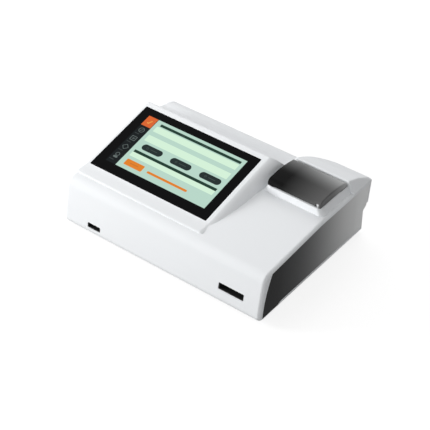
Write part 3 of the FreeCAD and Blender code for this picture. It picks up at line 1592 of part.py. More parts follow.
pieces = {
    "upper_housing": upper_housing,
    "base_pan": base_pan,
    "side_panel_right": lambda: side_panel(1),
    "side_panel_left": lambda: side_panel(-1),
    "rear_panel": rear_panel,
    "rubber_feet": rubber_feet,
    "base_screws": base_screws,
    "inner_screws": inner_screws,
    "touch_glass": touch_glass,
    "lcd_module": lcd_module,
    "lcd_bracket": lcd_bracket,
    "bracket_screws": bracket_screws,
    "main_board": main_board,
    "power_inlet": power_inlet,
    "usb_port_left": lambda: usb_port(0),
    "usb_port_right": lambda: usb_port(1),
    "network_port": network_port,
    "switch_body": switch_body,
    "power_rocker": power_rocker,
    "chip_board": chip_board,
    "chip_socket": chip_socket,
    "reader_chassis": reader_chassis,
    "guide_rod_left": lambda: guide_rod(0),
    "guide_rod_right": lambda: guide_rod(1),
    "carriage": carriage,
    "card_tray": card_tray,
    "card_guide": card_guide,
    "drive_pulley": drive_pulley,
    "idler_pulley": idler_pulley,
    "idler_pin": idler_pin,
    "drive_belt": drive_belt,
    "belt_clamp": belt_clamp,
    "stepper_motor": stepper_motor,
    "motor_bracket": motor_bracket,
    "head_bridge": head_bridge,
    "optical_head": optical_head,
    "objective_lens": objective_lens,
    "dichroic_mirror": dichroic_mirror,
    "emission_filter": emission_filter,
    "excitation_led": excitation_led,
    "detector_board": detector_board,
    "home_sensor": home_sensor,
    "printer_lid": printer_lid,
    "lid_hinge_pin": lid_hinge_pin,
    "printer_chassis": printer_chassis,
    "thermal_head": thermal_head,
    "platen_roller": platen_roller,
    "platen_shaft": platen_shaft,
    "platen_bushes": platen_bushes,
    "lid_button": lid_button,
}

os.makedirs("parts", exist_ok=True)
for name, make in pieces.items():
    shape = make()
    shape.exportStep("parts/" + name + ".step")
    print(name, len(shape.Solids), "solids", "valid" if shape.isValid() else "NOT VALID", round(shape.Volume))
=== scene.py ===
"""Dressed model of a bench fluorescence immunoassay analyzer, in metres, in its solids' own frame."""

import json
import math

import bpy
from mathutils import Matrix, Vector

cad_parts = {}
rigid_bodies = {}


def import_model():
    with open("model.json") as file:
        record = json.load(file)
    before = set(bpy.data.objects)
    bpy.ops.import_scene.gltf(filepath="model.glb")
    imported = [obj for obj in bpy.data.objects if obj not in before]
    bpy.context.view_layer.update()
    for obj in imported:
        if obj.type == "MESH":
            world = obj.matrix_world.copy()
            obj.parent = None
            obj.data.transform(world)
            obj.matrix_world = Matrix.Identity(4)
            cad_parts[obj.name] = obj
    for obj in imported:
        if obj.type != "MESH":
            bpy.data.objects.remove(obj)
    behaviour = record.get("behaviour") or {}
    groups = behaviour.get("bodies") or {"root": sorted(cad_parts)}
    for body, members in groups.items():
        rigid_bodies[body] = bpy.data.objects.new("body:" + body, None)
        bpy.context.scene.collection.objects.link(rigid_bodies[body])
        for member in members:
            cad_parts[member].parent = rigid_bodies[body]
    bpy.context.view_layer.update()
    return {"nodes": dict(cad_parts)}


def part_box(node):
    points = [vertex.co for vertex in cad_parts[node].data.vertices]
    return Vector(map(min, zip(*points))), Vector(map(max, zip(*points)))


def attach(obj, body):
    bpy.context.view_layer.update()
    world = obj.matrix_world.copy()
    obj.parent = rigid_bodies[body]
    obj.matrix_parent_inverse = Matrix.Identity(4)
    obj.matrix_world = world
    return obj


bl_info = {
    "name": "Immunoassay Analyzer Dresser",
    "version": (1, 0, 0),
    "blender": (4, 5, 0),
    "location": "View3D > Sidebar > Analyzer",
    "description": "Gives the analyzer's solids their finishes, contacts, marks, floor, lights and camera",
    "category": "Object",
}

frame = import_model()

MM = 0.001
GLASS_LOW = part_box("touch_glass")[0]
PANEL_LOW, PANEL_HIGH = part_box("side_panel_right")
LID_LOW, LID_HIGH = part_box("printer_lid")
SCREEN_TILT = math.radians(12.77)
GLASS_THICK = 1.8 * MM
DISPLAY_MARGIN_X = 13.2 * MM
DISPLAY_MARGIN_Y = 14.0 * MM
EDGE_SOFTNESS = 0.12  # blur of a colour field's edge on the display, in mm

# Side panel: places along its length of the black and of the greys of a painted reflection, from 0 at the
# front to 1 at the back
PANEL_FRONT_STOP = 0.20
PANEL_MIDDLE_STOP = 0.52
PANEL_REAR_STOP = 0.86
PANEL_ROUGHNESS = 0.14

# Printer lid: where its two painted reflection gradients start and end, and how far the rear one reaches
LID_DARK_WIDTH = 20 * MM
LID_DARK_DEPTH = 22 * MM
LID_REAR_REFLECTION_BEYOND = 4 * MM
LID_REAR_REFLECTION_POWER = 1.6
LID_REAR_REFLECTION_AT_LEFT = 0.45
LID_ROUGHNESS = 0.14

# Contacts in the sockets
SPRING_COUNT = 8
SPRING_PITCH = 1.02 * MM
SPRING_WIDTH = 0.42 * MM
SPRING_THICK = 0.22 * MM
SPRING_INSET = 3.0 * MM
SPRING_HANG = 0.12 * MM
SPRING_STEPS = [(-1.6 * MM, 0), (-4.5 * MM, -1.9 * MM), (-1.2 * MM, 0.5 * MM)]
USB_STRIP_WIDTH = 1.0 * MM
USB_STRIP_THICK = 0.1 * MM
USB_STRIP_SINK = 0.03 * MM
USB_STRIP_INSET = 2.2 * MM
USB_FLOOR_CLEAR = 0.9 * MM
USB_STRIP_PLACES = (-3.5 * MM, -1.0 * MM, 1.0 * MM, 3.5 * MM)
USB_STRIP_STEPS = [(-5.0 * MM, 0), (-1.0 * MM, 0.04 * MM)]

# Marks on the rocker
RING_RADIUS = 1.5 * MM
RING_WIRE = 0.26 * MM
RING_FLATNESS = 0.5
LINE_SIZE = (0.55 * MM, 3.2 * MM, 0.28 * MM)
MARK_PROBE = 20 * MM  # how far behind the rocker the line starts that finds its surface

# Stage
FLOOR_SIZE = 12.0
FLOOR_DROP = 0.2 * MM
FLOOR_GREY = 0.32
SKY_TOP = 0.5  # brightness of the surroundings overhead, against the horizon
SKY_TOP_PLACE = 0.8
SKY_FADE = 0.62  # brightness of the surroundings at the right, against the left
SKY_FADE_FROM = -0.4
SKY_FADE_TO = 0.9
# name, place, target, width and height, and the setting that holds the power
LIGHTS = [
    ("key_light", (-1.5, -0.8, 0.52), (0, 0, 0.03), (0.7, 0.6), "key_power"),
    ("top_light", (-0.6, 0.9, 1.1), (0, 0, 0), (1.2, 1.0), "top_power"),
    ("front_light", (0.3, -1.5, 0.5), (0, 0, 0.03), (1.2, 0.5), "front_power"),
    ("side_light", (1.5, 0.5, 0.7), (0, 0, 0.05), (1.2, 1.0), "side_power"),
]


class AnalyzerHousingSettings(bpy.types.PropertyGroup):
    """Finish of the white moulded shell."""

    colour: bpy.props.FloatVectorProperty(
        name="Housing colour", description="Colour of the white moulded shell", subtype="COLOR",
        size=4, min=0, max=1, default=(0.85, 0.868, 0.885, 1))
    roughness: bpy.props.FloatProperty(
        name="Housing roughness", description="How matt the shell is", subtype="FACTOR",
        min=0, max=1, default=0.55)
    grain_size: bpy.props.FloatProperty(
        name="Grain size", description="Size of one grain of the moulded surface", unit="LENGTH",
        min=0.0001, max=0.01, default=0.0007)
    pan_colour: bpy.props.FloatVectorProperty(
        name="Base pan colour", description="Colour of the floor of the analyzer", subtype="COLOR",
        size=4, min=0, max=1, default=(0.72, 0.74, 0.76, 1))


class AnalyzerPanelSettings(bpy.types.PropertyGroup):
    """Finish of the side panels and of the printer lid, whose greys are painted reflections."""

    front_colour: bpy.props.FloatVectorProperty(
        name="Panel front colour", description="Colour of a side panel at its front", subtype="COLOR",
        size=4, min=0, max=1, default=(0.003, 0.0033, 0.004, 1))
    # painted reflection: the grey half way back stands in for bright surroundings mirrored in the black
    # gloss
    middle_reflection: bpy.props.FloatVectorProperty(
        name="Panel middle colour", description="Colour of a side panel half way back", subtype="COLOR",
        size=4, min=0, max=1, default=(0.15, 0.152, 0.155, 1))
    # painted reflection: the light grey at the back stands in for bright surroundings mirrored in the black
    # gloss
    rear_reflection: bpy.props.FloatVectorProperty(
        name="Panel rear colour", description="Colour of a side panel at its back", subtype="COLOR",
        size=4, min=0, max=1, default=(0.90, 0.91, 0.91, 1))
    panel_gloss: bpy.props.FloatProperty(
        name="Panel gloss", description="Strength of the reflections in a side panel", subtype="FACTOR",
        min=0, max=1, default=0.03)
    lid_dark: bpy.props.FloatVectorProperty(
        name="Lid dark colour", description="Colour of the smoked lid at its dark side", subtype="COLOR",
        size=4, min=0, max=1, default=(0.006, 0.006, 0.006, 1))
    # painted reflection: the grey toward the lid's right stands in for light that the smoked gloss mirrors
    lid_reflection_grey: bpy.props.FloatVectorProperty(
        name="Lid light colour", description="Colour of the smoked lid at its light side", subtype="COLOR",
        size=4, min=0, max=1, default=(0.12, 0.12, 0.12, 1))
    # painted reflection: the pale grey along the lid's back stands in for bright surroundings mirrored in it
    lid_rear_reflection: bpy.props.FloatVectorProperty(
        name="Lid rear colour", description="Colour of the smoked lid along its back edge", subtype="COLOR",
        size=4, min=0, max=1, default=(0.62, 0.63, 0.63, 1))


class AnalyzerScreenSettings(bpy.types.PropertyGroup):
    """Colours of the lit display."""

    glass: bpy.props.FloatVectorProperty(
        name="Glass black", description="Black border printed behind the glass", subtype="COLOR",
        size=4, min=0, max=1, default=(0.0022, 0.0022, 0.0026, 1))
    field: bpy.props.FloatVectorProperty(
        name="Field green", description="Pale green of the working area", subtype="COLOR",
        size=4, min=0, max=1, default=(0.66, 0.88, 0.69, 1))
    band: bpy.props.FloatVectorProperty(
        name="Band green", description="Greyer green between the pale rows", subtype="COLOR",
        size=4, min=0, max=1, default=(0.48, 0.68, 0.58, 1))
    bar: bpy.props.FloatVectorProperty(
        name="Bar green", description="Dark green of the heading bars", subtype="COLOR",
        size=4, min=0, max=1, default=(0.012, 0.044, 0.028, 1))
    pill: bpy.props.FloatVectorProperty(
        name="Key grey", description="Dark grey of the three round-ended keys", subtype="COLOR",
        size=4, min=0, max=1, default=(0.017, 0.028, 0.027, 1))
    accent: bpy.props.FloatVectorProperty(
        name="Accent orange", description="Orange of the start key and its bar", subtype="COLOR",
        size=4, min=0, max=1, default=(0.76, 0.22, 0.022, 1))
    tile: bpy.props.FloatVectorProperty(
        name="Tile orange", description="Orange of the chosen tile in the side strip", subtype="COLOR",
        size=4, min=0, max=1, default=(0.70, 0.13, 0.028, 1))
    strip: bpy.props.FloatVectorProperty(
        name="Strip black", description="Near black of the side strip", subtype="COLOR",
        size=4, min=0, max=1, default=(0.007, 0.010, 0.011, 1))
    icon: bpy.props.FloatVectorProperty(
        name="Symbol grey", description="Grey of the symbols in the side strip", subtype="COLOR",
        size=4, min=0, max=1, default=(0.13, 0.16, 0.155, 1))
    faint: bpy.props.FloatVectorProperty(
        name="Faint grey", description="Grey of the thin bars between the symbols", subtype="COLOR",
        size=4, min=0, max=1, default=(0.045, 0.055, 0.055, 1))
    key_mark: bpy.props.FloatVectorProperty(
        name="Key mark", description="Dim grey of the marks on the dark keys", subtype="COLOR",
        size=4, min=0, max=1, default=(0.055, 0.075, 0.07, 1))
    accent_mark: bpy.props.FloatVectorProperty(
        name="Start key mark", description="Darker orange of the mark on the start key", subtype="COLOR",
        size=4, min=0, max=1, default=(0.58, 0.17, 0.03, 1))
    tile_mark: bpy.props.FloatVectorProperty(
        name="Tile mark", description="Light orange of the mark on the chosen tile", subtype="COLOR",
        size=4, min=0, max=1, default=(0.85, 0.34, 0.07, 1))


class AnalyzerStageSettings(bpy.types.PropertyGroup):
    """Camera, floor and lights."""

    azimuth: bpy.props.FloatProperty(
        name="Camera azimuth", description="Turn of the camera about the analyzer", subtype="ANGLE",
        default=math.radians(37.59))
    elevation: bpy.props.FloatProperty(
        name="Camera elevation", description="Height of the camera as an angle", subtype="ANGLE",
        default=math.radians(39.32))
    roll: bpy.props.FloatProperty(
        name="Camera roll", description="Turn of the picture about its middle", subtype="ANGLE",
        default=math.radians(0.37))
    distance: bpy.props.FloatProperty(
        name="Camera distance", description="From the camera to the point that it looks at", unit="LENGTH",
        default=1.6464)
    aim: bpy.props.FloatVectorProperty(
        name="Camera aim", description="The point that the camera looks at", subtype="TRANSLATION",
        unit="LENGTH", size=3, default=(0.02625, -0.0360, 0.0525))
    lens: bpy.props.FloatProperty(
        name="Lens", description="Focal length for a 36 mm wide sensor", unit="CAMERA", default=116.75)
    key_power: bpy.props.FloatProperty(
        name="Key light", description="Power of the low light at the left", unit="POWER",
        default=28.0)
    top_power: bpy.props.FloatProperty(
        name="Top light", description="Power of the light above and behind", unit="POWER",
        default=9.0)
    front_power: bpy.props.FloatProperty(
        name="Front light", description="Power of the low light before the front", unit="POWER",
        default=4.0)
    side_power: bpy.props.FloatProperty(
        name="Side light", description="Power of the light at the right", unit="POWER", default=1.5)
    sky_strength: bpy.props.FloatProperty(
        name="Surroundings", description="Brightness of the pale surroundings", default=0.8)
    floor_glow: bpy.props.FloatProperty(
        name="Floor glow", description="Share of the floor's white that its shadow can't take",
        subtype="FACTOR", min=0, max=1, default=0.8)


def deselect_all():
    """Leave nothing selected or active."""
    for item in bpy.context.view_layer.objects:
        item.select_set(False)
    bpy.context.view_layer.objects.active = None


def add_node(tree, kind, place=(0, 0), **settings):
    """Add a shader node; settings that are attributes are set, the rest are input values."""
    node = tree.nodes.new(kind)
    node.location = place
    for key, value in settings.items():
        name = key.replace("_", " ").title()
        if name in node.inputs:
            node.inputs[name].default_value = value
        else:
            setattr(node, key, value)
    return node


def math_node(tree, operation, first, second=None, place=(0, 0), clamp=False):
    """Math node on links or plain numbers, and its result."""
    node = tree.nodes.new("ShaderNodeMath")
    node.operation = operation
    node.use_clamp = clamp
    node.location = place
    for index, value in enumerate((first, second)):
        if value is None:
            continue
        if isinstance(value, (int, float)):
            node.inputs[index].default_value = value
        else:
            tree.links.new(value, node.inputs[index])
    return node.outputs[0]


def new_material(name, colour, roughness, metallic=0.0, specular=0.5):
    """Material with its Principled shader, and the tree that feeds it."""
    material = bpy.data.materials.new(name)
    material.use_nodes = True
    tree = material.node_tree
    shader = tree.nodes["Principled BSDF"]
    shader.inputs["Base Color"].default_value = colour
    shader.inputs["Roughness"].default_value = roughness
    shader.inputs["Metallic"].default_value = metallic
    shader.inputs["Specular IOR Level"].default_value = specular
    material.diffuse_color = colour
    return material, tree, shader


def object_coordinates(tree):
    """Place on the piece, in metres."""
    return add_node(tree, "ShaderNodeTexCoord", (-1100, 0)).outputs["Object"]


def start_group(name, inputs, outputs):
    """New shader node group with its sockets, its tree, its input node and its output node."""
    tree = bpy.data.node_groups.new(name, "ShaderNodeTree")
    for label, kind, value in inputs:
        socket = tree.interface.new_socket(label, in_out="INPUT", socket_type=kind)
        if value is not None:
            socket.default_value = value
    for label, kind in outputs:
        tree.interface.new_socket(label, in_out="OUTPUT", socket_type=kind)
    source = add_node(tree, "NodeGroupInput", (-900, 0))
    target = add_node(tree, "NodeGroupOutput", (600, 0))
    return tree, source, target


def build_moulded_grain():
    """Fine spark-eroded texture of a moulding."""
    tree, source, target = start_group("moulded_grain", [
        ("Vector", "NodeSocketVector", None),
        ("Grain Size", "NodeSocketFloat", 0.0007),
    ], [("Height", "NodeSocketFloat")])
    scale = math_node(tree, "DIVIDE", 1.0, source.outputs["Grain Size"], (-700, -200))
    fine = add_node(tree, "ShaderNodeTexNoise", (-450, 100), detail=3.0, roughness=0.6)
    cells = add_node(tree, "ShaderNodeTexVoronoi", (-450, -200), feature="SMOOTH_F1")
    for texture in (fine, cells):
        tree.links.new(source.outputs["Vector"], texture.inputs["Vector"])
        tree.links.new(scale, texture.inputs["Scale"])
    mixed = math_node(tree, "MULTIPLY", fine.outputs["Fac"], cells.outputs["Distance"], (-150, 0))
    tree.links.new(mixed, target.inputs["Height"])
    return tree


def build_tone_drift():
    """Slow drift of a colour over a surface."""
    tree, source, target = start_group("tone_drift", [
        ("Vector", "NodeSocketVector", None),
        ("Color", "NodeSocketColor", (0.8, 0.8, 0.8, 1)),
        ("Patch Size", "NodeSocketFloat", 0.06),
        ("Amount", "NodeSocketFloat", 0.04),
    ], [("Color", "NodeSocketColor")])
    scale = math_node(tree, "DIVIDE", 1.0, source.outputs["Patch Size"], (-700, -200))
    drift = add_node(tree, "ShaderNodeTexNoise", (-500, 0), detail=2.0, roughness=0.45)
    tree.links.new(source.outputs["Vector"], drift.inputs["Vector"])
    tree.links.new(scale, drift.inputs["Scale"])
    centred = math_node(tree, "SUBTRACT", drift.outputs["Fac"], 0.5, (-250, 0))
    swing = math_node(tree, "MULTIPLY", centred, source.outputs["Amount"], (-80, 0))
    value = math_node(tree, "MULTIPLY_ADD", swing, 2.0, (80, 0))
    value.node.inputs[2].default_value = 1.0
    tint = add_node(tree, "ShaderNodeHueSaturation", (300, 0))
    tree.links.new(value, tint.inputs["Value"])
    tree.links.new(source.outputs["Color"], tint.inputs["Color"])
    tree.links.new(tint.outputs["Color"], target.inputs["Color"])
    return tree


def build_handled_gloss():
    """Roughness that wanders a little, as on a surface that is wiped and touched."""
    tree, source, target = start_group("handled_gloss", [
        ("Vector", "NodeSocketVector", None),
        ("Roughness", "NodeSocketFloat", 0.2),
        ("Amount", "NodeSocketFloat", 0.05),
        ("Patch Size", "NodeSocketFloat", 0.02),
    ], [("Roughness", "NodeSocketFloat")])
    scale = math_node(tree, "DIVIDE", 1.0, source.outputs["Patch Size"], (-700, -200))
    smear = add_node(tree, "ShaderNodeTexNoise", (-450, 0), detail=4.0, roughness=0.6, distortion=0.6)
    tree.links.new(source.outputs["Vector"], smear.inputs["Vector"])
    tree.links.new(scale, smear.inputs["Scale"])
    shift = math_node(tree, "MULTIPLY", smear.outputs["Fac"], source.outputs["Amount"], (-200, 0))
    total = math_node(tree, "ADD", shift, source.outputs["Roughness"], (0, 0), clamp=True)
    tree.links.new(total, target.inputs["Roughness"])
    return tree


def build_brushed_lines():
    """Long fine scratches of rolled or brushed metal, along X."""
    tree, source, target = start_group("brushed_lines", [
        ("Vector", "NodeSocketVector", None),
        ("Line Width", "NodeSocketFloat", 0.0003),
        ("Stretch", "NodeSocketFloat", 40.0),
    ], [("Height", "NodeSocketFloat"), ("Mask", "NodeSocketFloat")])
    scale = math_node(tree, "DIVIDE", 1.0, source.outputs["Line Width"], (-700, -200))
    slow = math_node(tree, "DIVIDE", scale, source.outputs["Stretch"], (-550, -200))
    factors = add_node(tree, "ShaderNodeCombineXYZ", (-400, -200))
    tree.links.new(slow, factors.inputs["X"])
    tree.links.new(scale, factors.inputs["Y"])
    tree.links.new(scale, factors.inputs["Z"])
    stretched = add_node(tree, "ShaderNodeVectorMath", (-250, 0), operation="MULTIPLY")
    tree.links.new(source.outputs["Vector"], stretched.inputs[0])
    tree.links.new(factors.outputs[0], stretched.inputs[1])
    lines = add_node(tree, "ShaderNodeTexNoise", (-50, 0), scale=1.0, detail=2.0)
    tree.links.new(stretched.outputs[0], lines.inputs["Vector"])
    tree.links.new(lines.outputs["Fac"], target.inputs["Height"])
    tree.links.new(lines.outputs["Fac"], target.inputs["Mask"])
    return tree


def build_rounded_field():
    """Mask of a rectangle with rounded corners on a flat picture, 1 inside."""
    tree, source, target = start_group("rounded_field", [
        ("Vector", "NodeSocketVector", None),
        ("Centre", "NodeSocketVector", (0, 0, 0)),
        ("Half Size", "NodeSocketVector", (0.01, 0.01, 0)),
        ("Corner", "NodeSocketFloat", 0.001),
        ("Softness", "NodeSocketFloat", 0.0002),
    ], [("Mask", "NodeSocketFloat")])
    offset = add_node(tree, "ShaderNodeVectorMath", (-700, 0), operation="SUBTRACT")
    tree.links.new(source.outputs["Vector"], offset.inputs[0])
    tree.links.new(source.outputs["Centre"], offset.inputs[1])
    folded = add_node(tree, "ShaderNodeVectorMath", (-550, 0), operation="ABSOLUTE")
    tree.links.new(offset.outputs[0], folded.inputs[0])
    beyond = add_node(tree, "ShaderNodeVectorMath", (-400, 0), operation="SUBTRACT")
    tree.links.new(folded.outputs[0], beyond.inputs[0])
    tree.links.new(source.outputs["Half Size"], beyond.inputs[1])
    split = add_node(tree, "ShaderNodeSeparateXYZ", (-250, 0))
    tree.links.new(beyond.outputs[0], split.inputs[0])
    across = math_node(tree, "ADD", split.outputs["X"], source.outputs["Corner"], (-80, 100))
    up = math_node(tree, "ADD", split.outputs["Y"], source.outputs["Corner"], (-80, -60))
    across_out = math_node(tree, "MAXIMUM", across, 0.0, (60, 100))
    up_out = math_node(tree, "MAXIMUM", up, 0.0, (60, -60))
    square_x = math_node(tree, "MULTIPLY", across_out, across_out, (180, 100))
    square_y = math_node(tree, "MULTIPLY", up_out, up_out, (180, -60))
    squares = math_node(tree, "ADD", square_x, square_y, (300, 0))
    length = math_node(tree, "SQRT", squares, None, (400, 0))
    nearest = math_node(tree, "MAXIMUM", across, up, (180, -200))
    inner = math_node(tree, "MINIMUM", nearest, 0.0, (300, -200))
    whole = math_node(tree, "ADD", length, inner, (480, 0))
    distance = math_node(tree, "SUBTRACT", whole, source.outputs["Corner"], (560, 0))
    edge = add_node(tree, "ShaderNodeMapRange", (700, 0), interpolation_type="SMOOTHSTEP")
    edge.inputs["To Min"].default_value = 1.0
    edge.inputs["To Max"].default_value = 0.0
    low = math_node(tree, "MULTIPLY", source.outputs["Softness"], -1.0, (560, -200))
    tree.links.new(distance, edge.inputs["Value"])
    tree.links.new(low, edge.inputs["From Min"])
    tree.links.new(source.outputs["Softness"], edge.inputs["From Max"])
    target.location = (900, 0)
    tree.links.new(edge.outputs["Result"], target.inputs["Mask"])
    return tree


GROUPS = {
    "moulded_grain": build_moulded_grain,
    "tone_drift": build_tone_drift,
    "handled_gloss": build_handled_gloss,
    "brushed_lines": build_brushed_lines,
    "rounded_field": build_rounded_field,
}


def place_group(tree, name, place=(0, 0), **values):
    """Put a shared effect in a material, built once, with values for its sockets."""
    group = bpy.data.node_groups.get(name) or GROUPS[name]()
    node = tree.nodes.new("ShaderNodeGroup")
    node.node_tree = group
    node.location = place
    for key, value in values.items():
        node.inputs[key.replace("_", " ").title()].default_value = value
    return node


def grain_bump(tree, shader, vector, grain_size, depth):
    """Moulded grain on the shader's normal."""
    grain = place_group(tree, "moulded_grain", (-500, -400), grain_size=grain_size)
    tree.links.new(vector, grain.inputs["Vector"])
    bump = add_node(tree, "ShaderNodeBump", (-250, -400), strength=1.0, distance=depth)
    tree.links.new(grain.outputs["Height"], bump.inputs["Height"])
    tree.links.new(bump.outputs["Normal"], shader.inputs["Normal"])


def drift_colour(tree, shader, vector, colour, patch, amount):
    """Colour that drifts a little over the surface."""
    drift = place_group(tree, "tone_drift", (-500, 200), color=colour, patch_size=patch, amount=amount)
    tree.links.new(vector, drift.inputs["Vector"])
    tree.links.new(drift.outputs["Color"], shader.inputs["Base Color"])


def wander_gloss(tree, shader, vector, roughness, amount, patch):
    """Roughness that wanders a little over the surface."""
    gloss = place_group(tree, "handled_gloss", (-500, -100), roughness=roughness, amount=amount,
                        patch_size=patch)
    tree.links.new(vector, gloss.inputs["Vector"])
    tree.links.new(gloss.outputs["Roughness"], shader.inputs["Roughness"])


def moulded_plastic(name, colour, roughness, grain_size=0.0006, depth=0.00001, specular=0.5,
                    drift=0.03, patch=0.05):
    """Moulded plastic with fine grain and a slight drift of tone."""
    material, tree, shader = new_material(name, colour, roughness, specular=specular)
    vector = object_coordinates(tree)
    drift_colour(tree, shader, vector, colour, patch, drift)
    wander_gloss(tree, shader, vector, roughness, 0.06, patch / 2)
    grain_bump(tree, shader, vector, grain_size, depth)
    return material


def gloss_plastic(name, colour, roughness):
    """Smooth plastic with faint wiping marks."""
    material, tree, shader = new_material(name, colour, roughness)
    vector = object_coordinates(tree)
    drift_colour(tree, shader, vector, colour, 0.04, 0.04)
    wander_gloss(tree, shader, vector, roughness, 0.08, 0.012)
    return material


def metal(name, colour, roughness, line_width=0.0002, stretch=30.0, depth=0.000006):
    """Metal with fine drawn or rolled lines."""
    material, tree, shader = new_material(name, colour, roughness, metallic=1.0)
    vector = object_coordinates(tree)
    drift_colour(tree, shader, vector, colour, 0.01, 0.08)
    lines = place_group(tree, "brushed_lines", (-500, -400), line_width=line_width, stretch=stretch)
    tree.links.new(vector, lines.inputs["Vector"])
    spread = add_node(tree, "ShaderNodeMapRange", (-250, -150))
    spread.inputs["To Min"].default_value = roughness * 0.7
    spread.inputs["To Max"].default_value = min(roughness * 1.5, 1)
    tree.links.new(lines.outputs["Mask"], spread.inputs["Value"])
    tree.links.new(spread.outputs["Result"], shader.inputs["Roughness"])
    bump = add_node(tree, "ShaderNodeBump", (-250, -400), strength=0.5, distance=depth)
    tree.links.new(lines.outputs["Height"], bump.inputs["Height"])
    tree.links.new(bump.outputs["Normal"], shader.inputs["Normal"])
    return material


def rubber(name, colour):
    """Matt rubber with a powdery bloom."""
    material, tree, shader = new_material(name, colour, 0.8, specular=0.3)
    vector = object_coordinates(tree)
    drift_colour(tree, shader, vector, colour, 0.004, 0.3)
    grain_bump(tree, shader, vector, 0.0004, 0.00002)
    return material


def circuit_board(name):
    """Green solder mask, lighter over the tracks."""
    mask_green = (0.008, 0.10, 0.035, 1)
    track_green = (0.02, 0.19, 0.07, 1)
    material, tree, shader = new_material(name, mask_green, 0.35)
    vector = object_coordinates(tree)
    cells = add_node(tree, "ShaderNodeTexVoronoi", (-700, 200), distance="MANHATTAN",
                     feature="DISTANCE_TO_EDGE", scale=260.0)
    tree.links.new(vector, cells.inputs["Vector"])
    track = add_node(tree, "ShaderNodeMapRange", (-500, 200), interpolation_type="SMOOTHSTEP")
    track.inputs["From Min"].default_value = 0.04
    track.inputs["From Max"].default_value = 0.10
    tree.links.new(cells.outputs["Distance"], track.inputs["Value"])
    mix = add_node(tree, "ShaderNodeMix", (-250, 200), data_type="RGBA")
    mix.inputs[6].default_value = track_green
    mix.inputs[7].default_value = mask_green
    tree.links.new(track.outputs["Result"], mix.inputs[0])
    tree.links.new(mix.outputs[2], shader.inputs["Base Color"])
    bump = add_node(tree, "ShaderNodeBump", (-250, -300), strength=0.4, distance=0.00004, invert=True)
    tree.links.new(track.outputs["Result"], bump.inputs["Height"])
    tree.links.new(bump.outputs["Normal"], shader.inputs["Normal"])
    return material


def dress(material, *nodes):
    """Give CAD nodes a finish."""
    for name in nodes:
        piece = frame["nodes"][name]
        piece.data.materials.clear()
        piece.data.materials.append(material)


def gradient(tree, vector, axis, low, high, place):
    """0 to 1 along one axis of the piece, between two places."""
    split = add_node(tree, "ShaderNodeSeparateXYZ", place)
    tree.links.new(vector, split.inputs[0])
    ramp = add_node(tree, "ShaderNodeMapRange", (place[0] + 180, place[1]))
    ramp.inputs["From Min"].default_value = low
    ramp.inputs["From Max"].default_value = high
    tree.links.new(split.outputs[axis], ramp.inputs["Value"])
    return ramp.outputs["Result"]


class ANALYZER_OT_housing(bpy.types.Operator):
    """Finish the white shell, the base pan and the feet"""

    bl_idname = "analyzer.housing"
    bl_label = "Finish housing"

    def execute(self, context):
        """Satin white moulding with a fine grain."""
        look = context.scene.analyzer_housing
        white = moulded_plastic("white_moulding", tuple(look.colour), look.roughness,
                                grain_size=look.grain_size, depth=0.000006, specular=0.25,
                                drift=0.012, patch=0.12)
        dress(white, "upper_housing")
        pan = moulded_plastic("pan_moulding", tuple(look.pan_colour), 0.55, grain_size=0.0009,
                              depth=0.00002)
        dress(pan, "base_pan")
        dress(rubber("foot_rubber", (0.022, 0.022, 0.022, 1)), "rubber_feet")
        return {"FINISHED"}


class ANALYZER_OT_side_panels(bpy.types.Operator):
    """Finish the two glossy side panels"""

    bl_idname = "analyzer.side_panels"
    bl_label = "Finish side panels"

    def execute(self, context):
        """Black at the front, with a painted reflection that runs to light grey at the back."""
        look = context.scene.analyzer_panels
        material, tree, shader = new_material("fading_side_gloss", tuple(look.front_colour),
                                              PANEL_ROUGHNESS, specular=look.panel_gloss)
        vector = object_coordinates(tree)
        # the ramp from black to grey along the panel is a painted reflection
        along = gradient(tree, vector, "Y", PANEL_LOW.y, PANEL_HIGH.y, (-900, 250))
        ramp = add_node(tree, "ShaderNodeValToRGB", (-500, 250))
        ramp.color_ramp.interpolation = "B_SPLINE"
        stops = ramp.color_ramp.elements
        stops[0].position = PANEL_FRONT_STOP
        stops[0].color = look.front_colour
        stops[1].position = PANEL_REAR_STOP
        stops[1].color = look.rear_reflection
        middle = stops.new(PANEL_MIDDLE_STOP)
        middle.color = look.middle_reflection
        tree.links.new(along, ramp.inputs["Fac"])
        tree.links.new(ramp.outputs["Color"], shader.inputs["Base Color"])
        wander_gloss(tree, shader, vector, PANEL_ROUGHNESS, 0.06, 0.02)
        dress(material, "side_panel_right", "side_panel_left")
        return {"FINISHED"}


